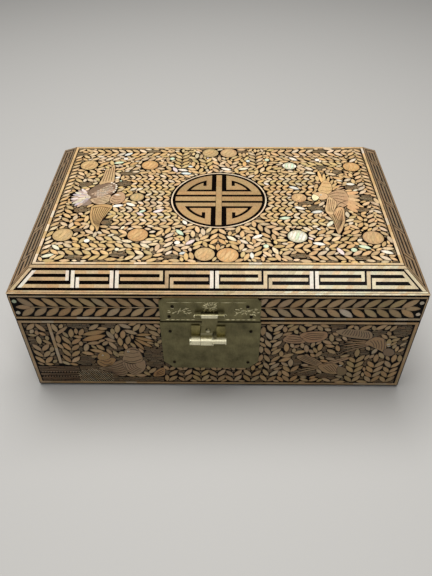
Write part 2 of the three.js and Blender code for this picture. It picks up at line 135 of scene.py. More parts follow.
class StudioSettings(bpy.types.PropertyGroup):
    """Camera and light."""

    lens: length_property("Lens", "Focal length on a 36 mm sensor", 34.3)
    key: power_property("Top light", "Power of the light above the box", 24.0)
    glint: power_property("Front light", "Power of the small light that glints on the slope", 3.2)
    fill: FloatProperty(name="Sky light", description="Strength of the light from all round", default=0.06)


class Panel:
    """A flat face of the box, with an origin, a right, an up and an outward direction."""

    def __init__(self, origin, right, up):
        self.origin = Vector(origin)
        self.right = Vector(right).normalized()
        self.up = Vector(up).normalized()
        self.out = self.right.cross(self.up)

    def point(self, u, v, lift=0.0):
        return (self.origin + self.right * u + self.up * v + self.out * lift) * MM

    def turn(self, angle):
        along = self.right * math.cos(angle) + self.up * math.sin(angle)
        across = self.out.cross(along)
        return Matrix((along, across, self.out)).transposed().to_euler()


def side_panel(side, kind):
    """The body's wall, the lid's band or the lid's slope on one side, with its half width."""
    out = Vector((*SIDES[side], 0))
    right = Vector((-out.y, out.x, 0))
    half_depth = abs(out.dot(LID_HIGH))
    half_width = abs(right.dot(LID_HIGH))
    foot = {"wall": BODY_LOW.z, "band": LID_LOW.z, "slope": LID_RIM}[kind]
    up = Vector((0, 0, 1))
    if kind == "slope":
        up = -out * SLOPE_INSET + up * SLOPE_RISE
    return Panel(out * half_depth + Vector((0, 0, foot)), right, up), half_width


TOP = Panel((0, 0, LID_HIGH.z), (1, 0, 0), (0, 1, 0))
TOP_HALF = (LID_HIGH.x - SLOPE_INSET, LID_HIGH.y - SLOPE_INSET)


def varied(rng, colour, amount=0.1):
    """A colour a little lighter or darker, and a little warmer or cooler."""
    light = 1 + amount * rng.uniform(-1, 1)
    warm = 1 + amount * 0.4 * rng.uniform(-1, 1)
    return (colour[0] * light * warm, colour[1] * light, colour[2] * light / warm)


def mixed(first, second, share):
    return tuple(a * (1 - share) + b * share for a, b in zip(first, second))


class Palette:
    """Draws the tint of each plate. The leaves of one sprig are cut from one sheet of shell."""

    SHEETS = {"shell": 0.40, "ochre": 0.14, "olive": 0.22, "mauve": 0.24}

    # The painted shade factor, below 1 on the upright band and walls, darkens and browns their plates and
    # makes their white shell rarer: painted shade of panels that face away from the top light.
    def __init__(self, rng, bright_share, painted_shade_factor=1.0):
        self.rng = rng
        self.bright_share = bright_share
        self.painted_shade_factor = painted_shade_factor
        self.colours = bpy.context.scene.box_colours
        self.sheet = self.colours.shell

    def seen(self, colour, amount):
        """A varied colour, darkened and browned by the painted shade factor: painted shade on panels that get
        less light.
        """
        red, green, blue = varied(self.rng, colour, amount)
        return (red * self.painted_shade_factor, green * self.painted_shade_factor ** 1.15, blue * self.painted_shade_factor ** 1.4)

    def new_sheet(self):
        """Take another sheet of shell for the next leaves."""
        name = self.rng.choice(list(self.SHEETS), p=list(self.SHEETS.values()))
        self.sheet = getattr(self.colours, name)

    def shell(self):
        if self.rng.random() < self.bright_share:
            return self.bright()
        plain = mixed(self.colours.shell, self.sheet, 0.8)
        light = mixed(plain, self.colours.pearl, 0.5 * self.painted_shade_factor ** 2 * self.rng.random() ** 4)
        return self.seen(light, 0.16)

    def bright(self):
        """White shell, now and then with a green or a pink cast."""
        pearl = tuple(self.colours.pearl)
        casts = (pearl, pearl, srgb(232, 222, 190), srgb(208, 224, 192), srgb(228, 206, 198),
                 srgb(214, 216, 206))
        return self.seen(casts[self.rng.integers(len(casts))], 0.1)

    def strip(self):
        """The strips of borders and bars: tan, with paler stretches."""
        pale = 0.6 * self.rng.random() ** 5
        return self.seen(mixed(self.colours.shell, self.colours.pearl, pale), 0.12)

    def dim(self):
        """The grey-brown of the fine hatching."""
        return self.seen(self.colours.hatching, 0.26)


class Inlay:
    """Gathers the plates of one piece, for Geometry Nodes to make."""

    # Neighbours lie at one of a few heights, as hand-laid shell does
    HEIGHTS = 7
    UNEVEN = 0.05
    STRIP_PIECE = 9.0

    def __init__(self):
        self.places = []
        self.turns = []
        self.sizes = []
        self.tints = []
        self.kinds = []

    def add(self, kind, panel, u, v, angle, length, width, tint, lift=0.0):
        uneven = self.UNEVEN * (len(self.places) % self.HEIGHTS) / self.HEIGHTS
        self.places.append(panel.point(u, v, lift + uneven))
        self.turns.append(panel.turn(angle))
        self.sizes.append((length / 2 * MM, width / 2 * MM, 1.0))
        self.tints.append((*tint, 1.0))
        self.kinds.append(kind)

    def strip(self, palette, panel, start, end, width):
        """A strip from one point to another, made of short lengths of shell."""
        along = Vector(end) - Vector(start)
        count = max(1, round(along.length / self.STRIP_PIECE))
        angle = math.atan2(along.y, along.x)
        for i in range(count):
            middle = Vector(start) + along * ((i + 0.5) / count)
            colour = palette.strip()
            self.add(TILE, panel, *middle, angle, along.length / count, width, colour)


class Ground:
    """The bare part of a panel's field, on a fine grid."""

    STEP = 0.4

    def __init__(self, low, high):
        self.low = low
        self.high = high
        counts = [int(round((b - a) / self.STEP)) for a, b in zip(low, high)]
        self.bare = np.ones(counts, bool)
        self.cells = []
        self.draws = 0

    def window(self, u, v, reach):
        slices = []
        centres = []
        for value, low, count in zip((u, v), self.low, self.bare.shape):
            first = max(0, int((value - reach - low) / self.STEP))
            last = min(count, int((value + reach - low) / self.STEP) + 1)
            slices.append(slice(first, max(first, last)))
            centres.append(low + (np.arange(first, max(first, last)) + 0.5) * self.STEP - value)
        return tuple(slices), centres[0][:, None], centres[1][None, :]

    def shape(self, u, v, angle, length, width, margin, sharpness):
        """The cells that a plate covers, with a margin: a leaf, a disc, or a bar as the sharpness falls."""
        half = length / 2 + margin
        slices, du, dv = self.window(u, v, max(half, width / 2 + margin) * 1.1)
        along = du * math.cos(angle) + dv * math.sin(angle)
        across = dv * math.cos(angle) - du * math.sin(angle)
        share = np.clip(1 - (along / half) ** 2, 0, 1)
        inside = (np.abs(across) <= width / 2 * share ** (sharpness / 2) + margin) & (share > 0)
        return slices, inside

    def fits(self, u, v, angle, length, width, sharpness=LEAF_SHARPNESS, spare=0.05, bare=None):
        """Whether a plate finds room, but for a small spare share of it."""
        for side in (-0.5, 0.5):
            tip = (u + side * length * math.cos(angle), v + side * length * math.sin(angle))
            if not all(a <= t <= b for a, t, b in zip(self.low, tip, self.high)):
                return False
        ground = self.bare if bare is None else bare
        slices, inside = self.shape(u, v, angle, length, width, 0.0, sharpness)
        return np.count_nonzero(inside & ~ground[slices]) <= spare * np.count_nonzero(inside)

    def take(self, u, v, angle, length, width, margin, sharpness=LEAF_SHARPNESS):
        slices, inside = self.shape(u, v, angle, length, width, margin, sharpness)
        self.bare[slices] &= ~inside

    def take_box(self, low, high):
        first = [max(0, int(round((c - a) / self.STEP))) for c, a in zip(low, self.low)]
        last = [max(0, int(round((c - a) / self.STEP))) for c, a in zip(high, self.low)]
        self.bare[first[0]:last[0], first[1]:last[1]] = False

    def take_outline(self, outline):
        """Takes the cells inside an outline, and those next to them."""
        middle = [sum(axis) / len(outline) for axis in zip(*outline)]
        reach = max(math.dist(point, middle) for point in outline) + 2 * self.STEP
        slices, du, dv = self.window(*middle, reach)
        across = du + middle[0]
        up = dv + middle[1]
        inside = np.zeros(np.broadcast(across, up).shape, bool)
        for (u0, v0), (u1, v1) in zip(outline, outline[1:] + outline[:1]):
            if v0 != v1:
                crossed = (up >= min(v0, v1)) & (up < max(v0, v1))
                inside ^= crossed & (across < u0 + (up - v0) * (u1 - u0) / (v1 - v0))
        wide = inside.copy()
        wide[1:] |= inside[:-1]
        wide[:-1] |= inside[1:]
        wide[:, 1:] |= inside[:, :-1]
        wide[:, :-1] |= inside[:, 1:]
        self.bare[slices] &= ~wide

    def keep_wide(self, reach):
        """Leaves out the bare places that are narrower than a few cells."""
        steps = range(-reach, reach + 1)
        for choose in (np.minimum, np.maximum):
            for axis in (0, 1):
                self.bare = choose.reduce([np.roll(self.bare, step, axis) for step in steps])

    def random_bare(self, rng):
        """A random bare point, the roomiest of a few."""
        draws_between_counts = 20
        if self.draws % draws_between_counts == 0:
            self.cells = np.argwhere(self.bare)
        self.draws += 1
        if not len(self.cells):
            return None
        picks = self.cells[rng.integers(len(self.cells), size=8)]
        reach = 6
        room = [self.bare[max(0, i - reach):i + reach, max(0, j - reach):j + reach].sum() for i, j in picks]
        i, j = picks[int(np.argmax(room))]
        return self.low[0] + (i + 0.5) * self.STEP, self.low[1] + (j + 0.5) * self.STEP


class Garden:
    """Plants leaves, sprigs, fruit, feathers and hatching on one panel."""

    # What a leaf is shortened to where its place is too tight, and the gap round a small dot
    SHORTER = (1, 0.85, 0.7, 0.55)
    DOT_GAP = 0.25

    def __init__(self, inlay, panel, low, high, palette, rng, leaf=None):
        sizes = bpy.context.scene.box_inlay
        self.inlay = inlay
        self.hatching = Inlay()
        self.outlines = []
        self.panel = panel
        self.ground = Ground(low, high)
        self.palette = palette
        self.rng = rng
        self.leaf = leaf or (sizes.leaf_length / MM, sizes.leaf_width / MM)
        self.gap = sizes.gap / MM

    def add(self, kind, place, angle, length, width, tint, lift=0.0):
        self.inlay.add(kind, self.panel, *place, angle, length, width, tint, lift)

    def plant_leaf(self, base, angle, length, width, tint=None, bare=None):
        """A leaf that grows from its base, or a shorter one if there is less room."""
        for share in self.SHORTER:
            reach = length * share / 2
            u = base[0] + reach * math.cos(angle)
            v = base[1] + reach * math.sin(angle)
            breadth = width * (1 + share) / 2
            if self.ground.fits(u, v, angle, length * share, breadth, bare=bare):
                self.ground.take(u, v, angle, length * share, breadth, self.gap)
                colour = tint or self.palette.shell()
                self.add(LEAF, (u, v), angle, length * share, breadth, colour)
                return

    def plant_sprig(self, start, heading, length, curl=0.0, leaf=None, pitch=None, spread=36.0, tip=True):
        """Pairs of leaves along a stem and one at its tip, all cut from one sheet of shell."""
        leaf_length, leaf_width = leaf or self.leaf
        pitch = pitch or 0.67 * leaf_length
        spread = math.radians(spread)
        bare = self.ground.bare.copy()
        self.palette.new_sheet()
        u, v = start
        for _ in range(max(1, int(length / pitch))):
            for side in (-1, 1):
                offset = side * self.gap * 0.7
                base = (u - math.sin(heading) * offset, v + math.cos(heading) * offset)
                angle = heading + side * spread * self.rng.uniform(0.94, 1.06)
                size = leaf_length * self.rng.uniform(0.95, 1.05)
                self.plant_leaf(base, angle, size, leaf_width, bare=bare)
            u += pitch * math.cos(heading)
            v += pitch * math.sin(heading)
            heading += math.radians(curl) * pitch
            if not all(a < place < b for a, place, b in zip(self.ground.low, (u, v), self.ground.high)):
                return
        if tip:
            self.plant_leaf((u, v), heading, leaf_length, leaf_width, bare=bare)

    def plant_rosette(self, place, radius, petals, turn=0.0):
        """Leaves round a dark dot."""
        self.palette.new_sheet()
        bare = self.ground.bare.copy()
        dot = 1.1
        for i in range(petals):
            angle = turn + 2 * math.pi * i / petals
            base = (place[0] + dot * math.cos(angle), place[1] + dot * math.sin(angle))
            self.plant_leaf(base, angle, radius, self.leaf[1], bare=bare)

    def plant_disc(self, place, radius, tint, margin=None):
        diameter = 2 * radius
        margin = self.gap if margin is None else margin
        self.ground.take(*place, 0.0, diameter, diameter, margin, sharpness=1.0)
        self.add(DISC, place, 0.0, diameter, diameter, tint)

    def plant_blade(self, base, angle, length, width, bend, tint, lift=0.0):
        """A long curved feather that narrows to its tip."""
        steps = 8
        step = length / steps
        heading = angle - bend / 2
        u, v = base
        left = []
        right = []
        for i in range(steps + 1):
            share = i / steps
            half = width / 2 * (0.6 + 0.4 * min(1.0, share * 5)) * (1 - share ** 4) ** 0.6
            left.append((u - math.sin(heading) * half, v + math.cos(heading) * half))
            right.append((u + math.sin(heading) * half, v - math.cos(heading) * half))
            self.ground.take(u, v, heading, step * 1.4, 2 * half, self.gap, 0.4)
            heading += bend / steps
            u += step * math.cos(heading)
            v += step * math.sin(heading)
        self.outlines.append((self.panel, left + right[-2::-1], tint, lift))

    def fill_sprigs(self, tries, heading_at, lengths, curls):
        """Sprigs from random bare places along a field of headings."""
        for _ in range(tries):
            place = self.ground.random_bare(self.rng)
            if place is None:
                return
            heading = heading_at(*place) + math.radians(self.rng.uniform(-16, 16))
            self.plant_sprig(place, heading, self.rng.uniform(*lengths), self.rng.uniform(*curls))

    def fill_leaves(self, tries, heading_at, shortest, narrowest):
        """Single leaves in what is left, from long to short."""
        tries_per_sheet = 40
        turns = 6
        self.palette.new_sheet()
        for i in range(tries):
            place = self.ground.random_bare(self.rng)
            if place is None:
                return
            if i % tries_per_sheet == 0:
                self.palette.new_sheet()
            share = 1 - i / tries
            length = shortest + (self.leaf[0] - shortest) * share
            width = narrowest + (self.leaf[1] - narrowest) * share
            start = heading_at(*place) + self.rng.uniform(-0.6, 0.6)
            for turn in range(turns):
                angle = start + turn * math.pi / turns
                if self.ground.fits(*place, angle, length, width):
                    self.ground.take(*place, angle, length, width, self.gap)
                    self.add(LEAF, place, angle, length, width, self.palette.shell())
                    break

    def fill_dots(self, tries):
        for _ in range(tries):
            place = self.ground.random_bare(self.rng)
            if place is None:
                return
            size = 2 * self.rng.uniform(0.5, 1.1)
            if self.ground.fits(*place, 0.0, size, size, 1.0):
                self.ground.take(*place, 0.0, size, size, self.DOT_GAP, 1.0)
                self.add(LEAF, place, 0.0, size, size, self.palette.shell())

    def hatch_patch(self, middle, half_u, half_v):
        """Fine level lines inside an oval, kept clear of leaves."""
        kept = self.ground.bare.copy()
        self.ground.bare[:] = False
        slices, inside = self.ground.shape(*middle, 0.0, 2 * half_u, 2 * half_v, 0.0, 1.0)
        self.ground.bare[slices] = inside & kept[slices]
        self.hatch((middle[0] - half_u, middle[1] - half_v), (middle[0] + half_u, middle[1] + half_v))
        kept[slices] &= ~inside
        self.ground.bare = kept

    def hatch(self, low, high, pitch=1.25, line=0.6, shortest=1.2, longest=7.0, tint=None):
        """Fine level lines, broken here and there, over what is bare in a box of the field."""
        break_width = 0.3
        ground = self.ground
        v = low[1] + pitch / 2
        while v < high[1]:
            row = int((v - ground.low[1]) / ground.STEP)
            first = max(0, int((low[0] - ground.low[0]) / ground.STEP))
            last = min(ground.bare.shape[0], int((high[0] - ground.low[0]) / ground.STEP))
            if 0 <= row < ground.bare.shape[1]:
                bare = np.concatenate(([False], ground.bare[first:last, row], [False]))
                edges = np.flatnonzero(bare[1:] != bare[:-1])
                for start, end in zip(edges[::2], edges[1::2]):
                    at = ground.low[0] + (first + start) * ground.STEP
                    stop = ground.low[0] + (first + end) * ground.STEP
                    while stop - at >= shortest:
                        piece = min(stop - at, longest * self.rng.uniform(0.5, 1.0))
                        colour = self.palette.seen(tint, 0.2) if tint else self.palette.dim()
                        height = v + 0.12 * pitch * self.rng.uniform(-1, 1)
                        self.hatching.add(TILE, self.panel, at + piece / 2, height, 0.0, piece - break_width,
                                          line, colour)
                        at += piece
            v += pitch
        ground.take_box(low, high)

    def hatch_rest(self):
        """Close, fine hatching in the wider spaces that the leaves leave."""
        self.ground.keep_wide(2)
        self.hatch(self.ground.low, self.ground.high, pitch=1.1, line=0.5, shortest=0.9, longest=5.0)


def add_node(nodes, kind, values=(), **settings):
    """A node with its settings. Each value goes to the input of its name, or of its place in the row:
    a socket is linked, and anything else is set."""
    node = nodes.new(kind)
    for name, setting in settings.items():
        setattr(node, name, setting)
    for key, value in values.items() if isinstance(values, dict) else enumerate(values):
        if isinstance(value, bpy.types.NodeSocket):
            nodes.id_data.links.new(value, node.inputs[key])
        else:
            node.inputs[key].default_value = value
    return node


def plate_tree():
    """Geometry Nodes that put a leaf, a disc or a tile on every place, turned, sized and tinted."""
    tree = bpy.data.node_groups.new("inlay_plates", "GeometryNodeTree")
    for name, kind in (("Places", "Geometry"), ("Plate height", "Float"), ("Leaf outline points", "Int"),
                       ("Leaf sharpness", "Float"), ("Disc outline points", "Int"), ("Finish", "Material")):
        tree.interface.new_socket(name, in_out="INPUT", socket_type=f"NodeSocket{kind}")
    tree.interface.new_socket("Plates", in_out="OUTPUT", socket_type="NodeSocketGeometry")
    nodes = tree.nodes
    given = nodes.new("NodeGroupInput").outputs

    def attribute(name, kind):
        node = add_node(nodes, "GeometryNodeInputNamedAttribute", {"Name": name}, data_type=kind)
        return node.outputs["Attribute"]

    def calculated(operation, *inputs):
        return add_node(nodes, "ShaderNodeMath", inputs, operation=operation).outputs[0]

    def position():
        return nodes.new("GeometryNodeInputPosition").outputs[0]

    def as_instance(geometry, kept_axes):
        """An instance whose points remember their place on the plate, along the kept axes."""
        place = add_node(nodes, "ShaderNodeVectorMath", (position(), kept_axes), operation="MULTIPLY")
        kept = add_node(nodes, "GeometryNodeStoreNamedAttribute",
                        {"Geometry": geometry, "Name": "plate_place", "Value": place.outputs[0]},
                        data_type="FLOAT_VECTOR")
        return add_node(nodes, "GeometryNodeGeometryToInstance", (kept.outputs["Geometry"],)).outputs[0]

    def round_plate(count):
        node = add_node(nodes, "GeometryNodeMeshCylinder",
                        {"Radius": 1.0, "Vertices": given[count], "Depth": given["Plate height"]},
                        fill_type="NGON")
        return node.outputs["Mesh"]

    # The leaf is a round plate whose sides are drawn in towards both tips
    parts = add_node(nodes, "ShaderNodeSeparateXYZ", (position(),)).outputs
    drawn_in = calculated("POWER", calculated("ABSOLUTE", parts["Y"]), given["Leaf sharpness"])
    across = calculated("MULTIPLY", drawn_in, calculated("SIGN", parts["Y"]))
    place = add_node(nodes, "ShaderNodeCombineXYZ", (parts["X"], across, parts["Z"]))
    leaf = add_node(nodes, "GeometryNodeSetPosition",
                    {"Geometry": round_plate("Leaf outline points"), "Position": place.outputs[0]})
    disc = round_plate("Disc outline points")
    tile_size = add_node(nodes, "ShaderNodeCombineXYZ", (2.0, 2.0, given["Plate height"]))
    tile = add_node(nodes, "GeometryNodeMeshCube", {"Size": tile_size.outputs[0]})

    # The kinds are joined last to first, so that a leaf is the first to pick
    kinds = nodes.new("GeometryNodeJoinGeometry")
    # The kept axes set how much of the painted edge shade each kind gets: a tile only across, a disc a little
    # less than a leaf
    for geometry, kept_axes in ((tile.outputs["Mesh"], (0.0, 0.85, 0.0)), (disc, (0.85, 0.85, 0.0)),
                                (leaf.outputs["Geometry"], (1.0, 1.0, 0.0))):
        tree.links.new(as_instance(geometry, kept_axes), kinds.inputs[0])

    turn = add_node(nodes, "FunctionNodeEulerToRotation", (attribute("turn", "FLOAT_VECTOR"),))
    copies = add_node(nodes, "GeometryNodeInstanceOnPoints", {
        "Points": given["Places"], "Instance": kinds.outputs[0], "Pick Instance": True,
        "Instance Index": attribute("kind", "INT"), "Rotation": turn.outputs[0],
        "Scale": attribute("size", "FLOAT_VECTOR")})
    realized = add_node(nodes, "GeometryNodeRealizeInstances", (copies.outputs[0],))
    painted = add_node(nodes, "GeometryNodeSetMaterial",
                       {"Geometry": realized.outputs[0], "Material": given["Finish"]})
    add_node(nodes, "NodeGroupOutput", (painted.outputs[0],))
    return tree


def in_scene(name, data):
    """A new object of a mesh, a light or a camera."""
    made = bpy.data.objects.new(name, data)
    bpy.context.scene.collection.objects.link(made)
    return made


def store(mesh, name, kind, key, values):
    """A named value on each point of a mesh."""
    made = mesh.attributes.new(name, kind, "POINT")
    made.data.foreach_set(key, np.array(values, np.int32 if kind == "INT" else np.float32).ravel())


def plain_copy(name, source):
    """A plain mesh object from an object with modifiers, which is then removed."""
    evaluated = source.evaluated_get(bpy.context.evaluated_depsgraph_get())
    mesh = bpy.data.meshes.new_from_object(evaluated)
    mesh.name = name
    piece = in_scene(name, mesh)
    bpy.data.objects.remove(source)
    return piece


def make_plates(name, inlay, body, finish):
    """One plain mesh of all the plates of an inlay."""
    if not inlay.places:
        raise RuntimeError(f"{name} has no plates")
    sizes = bpy.context.scene.box_inlay
    mesh = bpy.data.meshes.new(name + "_places")
    mesh.vertices.add(len(inlay.places))
    mesh.vertices.foreach_set("co", np.array(inlay.places, np.float32).ravel())
    store(mesh, "turn", "FLOAT_VECTOR", "vector", inlay.turns)
    store(mesh, "size", "FLOAT_VECTOR", "vector", inlay.sizes)
    store(mesh, "tint", "FLOAT_COLOR", "color", inlay.tints)
    store(mesh, "kind", "INT", "value", inlay.kinds)
    source = in_scene(name + "_places", mesh)
    tree = bpy.data.node_groups.get("inlay_plates") or plate_tree()
    values = {"Plate height": 2 * sizes.plate_height, "Leaf outline points": 12, "Disc outline points": 24,
              "Leaf sharpness": LEAF_SHARPNESS, "Finish": finish}
    modifier = source.modifiers.new("Plates", "NODES")
    modifier.node_group = tree
    for socket in tree.interface.items_tree:
        if socket.in_out == "INPUT" and socket.name in values:
            modifier[socket.identifier] = values[socket.name]
    piece = plain_copy(name, source)
    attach(piece, body)
    return piece


def area(outline):
    return sum(a[0] * b[1] - b[0] * a[1] for a, b in zip(outline, outline[1:] + outline[:1])) / 2


def make_outlines(name, plates, body, finish, height=None):
    """One mesh of flat plates, each from its panel, its outline, its tint and its lift."""
    height = height or bpy.context.scene.box_inlay.plate_height / MM
    points = []
    faces = []
    tints = []
    for panel, outline, tint, lift in plates:
        ring = [tuple(point) for point in outline]
        if area(ring) < 0:
            ring.reverse()
        first = len(points)
        count = len(ring)
        points += [panel.point(*point, lift - height) for point in ring]
        points += [panel.point(*point, lift + height) for point in ring]
        tints += [(*tint, 1.0)] * (2 * count)
        faces.append([first + count + i for i in range(count)])
        faces.append([first + i for i in reversed(range(count))])
        for i in range(count):
            after = (i + 1) % count
            faces.append([first + i, first + after, first + count + after, first + count + i])
    mesh = bpy.data.meshes.new(name)
    mesh.from_pydata(points, [], faces)
    store(mesh, "tint", "FLOAT_COLOR", "color", tints)
    mesh.materials.append(finish)
    piece = in_scene(name, mesh)
    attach(piece, body)
    return piece


# How deep the fine bumps are, how metallic the dull brass is, and half the height of the strap's dull band,
# left without the pale mix, with how far that band lies above the middle of the lock pin
BUMP_DEPTH = 0.2 * MM
DULL_METAL = 0.85
DULL_BAND = 1.6
BAND_ABOVE_PIN = 4.6

# Places from back to front where the pale mix of the strap and of the barrels starts, and where it is full:
# partly brass rubbed bright by hands, partly a painted highlight on what stands out in front
STRAP_POLISH_AND_HIGHLIGHT = (-104.2, -105.4)
BARREL_POLISH_AND_HIGHLIGHT = (-103.4, -106.0)


def new_material(name):
    material = bpy.data.materials.new(name)
    material.use_nodes = True
    nodes = material.node_tree.nodes
    return material, nodes, nodes["Principled BSDF"]


def noise(nodes, stretch, detail=4.0, roughness=0.5, distortion=0.0):
    """Noise on object coordinates. The larger the stretch along an axis, the finer it is."""
    coordinates = nodes.new("ShaderNodeTexCoord").outputs["Object"]
    mapping = add_node(nodes, "ShaderNodeMapping", {"Vector": coordinates, "Scale": stretch})
    node = add_node(nodes, "ShaderNodeTexNoise", {
        "Vector": mapping.outputs[0], "Scale": 1.0, "Detail": detail, "Roughness": roughness,
        "Distortion": distortion})
    return node.outputs["Fac"]


def ramp(nodes, factor, stops):
    node = add_node(nodes, "ShaderNodeValToRGB", (factor,))
    elements = node.color_ramp.elements
    while len(elements) < len(stops):
        elements.new(0.5)
    for element, (place, colour) in zip(elements, stops):
        element.position = place
        element.color = (*colour, 1.0)
    return node.outputs["Color"]


def grey_ramp(nodes, factor, low, high, dark, light):
    return ramp(nodes, factor, [(low, (dark,) * 3), (high, (light,) * 3)])


def mix_colour(nodes, blend, factor, first, second):
    """Two colours blended: each is a socket or a plain colour."""
    first, second = ((*colour, 1.0) if isinstance(colour, tuple) else colour for colour in (first, second))
    values = {0: factor, 6: first, 7: second}
    return add_node(nodes, "ShaderNodeMix", values, data_type="RGBA", blend_type=blend).outputs[2]


def finish_surface(nodes, shader, colour, roughness, relief, strength):
    """Link a shader's colour and roughness, and give it a fine bump."""
    links = nodes.id_data.links
    links.new(colour, shader.inputs["Base Color"])
    links.new(roughness, shader.inputs["Roughness"])
    bump = add_node(nodes, "ShaderNodeBump", {"Strength": strength, "Distance": BUMP_DEPTH, "Height": relief})
    links.new(bump.outputs[0], shader.inputs["Normal"])


def shell_finish():
    """Thin shell under clear lacquer: a tint for each plate, with the streaks of its growth."""
    material, nodes, shader = new_material("shell_inlay")
    colour = add_node(nodes, "ShaderNodeAttribute", attribute_name="tint").outputs["Color"]
    fine = noise(nodes, (900, 380, 900), detail=4, roughness=0.6)
    broad = noise(nodes, (150, 110, 150), detail=3, distortion=0.6)
    glow = ramp(nodes, broad, [(0.34, srgb(246, 230, 222)), (0.5, (1, 1, 1)), (0.68, srgb(236, 244, 228))])
    # The tint is multiplied by fine streaks, a broad cast of colour, and a painted shade towards each plate's
    # edge
    for share, shade in ((1.0, grey_ramp(nodes, fine, 0.3, 0.7, 0.8, 1.12)), (0.5, glow),
                         (1.0, plate_edge_shade(nodes))):
        colour = mix_colour(nodes, "MULTIPLY", share, colour, shade)
    finish_surface(nodes, shader, colour, grey_ramp(nodes, fine, 0.2, 0.8, 0.24, 0.42), fine, 0.12)
    shader.inputs["Specular IOR Level"].default_value = 0.4
    shader.inputs["Coat Weight"].default_value = 0.12
    shader.inputs["Coat Roughness"].default_value = 0.12
    return material


def plate_edge_shade(nodes):
    """Darker towards a plate's edge, 1 in its middle: partly a dark rim round the shell, partly painted shade
    of a rounded edge.
    """
    place = add_node(nodes, "ShaderNodeAttribute", attribute_name="plate_place").outputs["Vector"]
    square = add_node(nodes, "ShaderNodeVectorMath", (place, place), operation="DOT_PRODUCT")
    return grey_ramp(nodes, square.outputs["Value"], 0.4, 1.0, 1.0, 0.52)


def inner_faces(nodes, middle):
    """1 on the faces that look towards a place inside the box or the lid, and 0 on the outer ones."""
    coordinates = nodes.new("ShaderNodeTexCoord").outputs
    away = add_node(nodes, "ShaderNodeVectorMath", (coordinates["Object"], middle), operation="SUBTRACT")
    facing = add_node(nodes, "ShaderNodeVectorMath", (coordinates["Normal"], away.outputs[0]),
                      operation="DOT_PRODUCT")
    return add_node(nodes, "ShaderNodeMath", (facing.outputs["Value"], 0.0), operation="LESS_THAN").outputs[0]


def lacquer_finish(colour, name, middle=None):
    """Dark lacquer with a quiet gloss, faint mottling and fine dust, and browner inside a box or a lid."""
    material, nodes, shader = new_material(name)
    cloud = noise(nodes, (40, 40, 40), detail=5, roughness=0.6)
    grain = noise(nodes, (1400, 1400, 1400), detail=2)
    lighter = tuple(channel * 1.6 for channel in colour)
    base = ramp(nodes, cloud, [(0.3, tuple(colour)), (0.75, lighter)])
    if middle:
        lining = ramp(nodes, cloud, [(0.3, srgb(58, 34, 24)), (0.75, srgb(72, 44, 31))])
        base = mix_colour(nodes, "MIX", inner_faces(nodes, middle), base, lining)
    finish_surface(nodes, shader, base, grey_ramp(nodes, grain, 0.3, 0.8, 0.22, 0.42), grain, 0.08)
    shader.inputs["Specular IOR Level"].default_value = 0.05
    return material


def metal_finish(colour, name, roughness, wear, polish_and_highlight=None, depths=None, dull_height=None):
    """Brass gone dull, with patches of wear and stains. Where it stands out in front, between two depths, but
    for a band round the dull height, it is mixed towards a pale, less metallic colour: partly brass rubbed
    bright by hands, partly a painted highlight."""
    material, nodes, shader = new_material(name)
    cloud = noise(nodes, (60, 60, 60), detail=6, roughness=0.65)
    scratch = noise(nodes, (2200, 500, 260), detail=3, roughness=0.6)
    dull = tuple(channel * (1 - wear) for channel in colour)
    bright = tuple(min(1.0, channel * (1 + wear)) for channel in colour)
    base = ramp(nodes, cloud, [(0.32, dull), (0.5, tuple(colour)), (0.72, bright)])
    shader.inputs["Metallic"].default_value = DULL_METAL
    if polish_and_highlight:
        coordinates = nodes.new("ShaderNodeTexCoord").outputs["Object"]
        parts = add_node(nodes, "ShaderNodeSeparateXYZ", (coordinates,)).outputs
        reach = add_node(nodes, "ShaderNodeMapRange",
                         {"Value": parts["Y"], "From Min": depths[0] * MM, "From Max": depths[1] * MM})
        polish_and_highlight_share = reach.outputs["Result"]
        if dull_height:
            band = add_node(nodes, "ShaderNodeMath", (parts["Z"], dull_height * MM, DULL_BAND * MM),
                            operation="COMPARE")
            spared = add_node(nodes, "ShaderNodeMath", (polish_and_highlight_share, band.outputs[0]), operation="SUBTRACT",
                              use_clamp=True)
            polish_and_highlight_share = spared.outputs[0]
        base = mix_colour(nodes, "MIX", polish_and_highlight_share, base, tuple(polish_and_highlight))
        metallic = grey_ramp(nodes, polish_and_highlight_share, 0.0, 1.0, DULL_METAL, 0.35)
        nodes.id_data.links.new(metallic, shader.inputs["Metallic"])
    base = mix_colour(nodes, "MULTIPLY", 0.6, base, grey_ramp(nodes, scratch, 0.3, 0.7, 0.7, 1.15))
    sheen = grey_ramp(nodes, cloud, 0.3, 0.7, roughness + 0.12, roughness - 0.08)
    finish_surface(nodes, shader, base, sheen, scratch, 0.15)
    return material


def paint(names, material):
    for name in names:
        slots = NODES[name].material_slots
        if not slots:
            NODES[name].data.materials.append(material)
        for slot in slots:
            slot.material = material


# The engraved lines of the upper plate, each with its height, start, end and width, and the sprays of
# strokes, each with its middle, its spread and its number of strokes
ENGRAVED_LINES = ((100.4, -36, 21, 0.42), (82.6, -38, -16, 0.7), (82.7, 6, 29, 0.85))
ENGRAVED_SPRAYS = (((-5.2, 95.4), 4.6, 4.6, 64), ((-27.5, 91.8), 8.0, 3.0, 26), ((21.5, 91.4), 8.6, 3.8, 40))


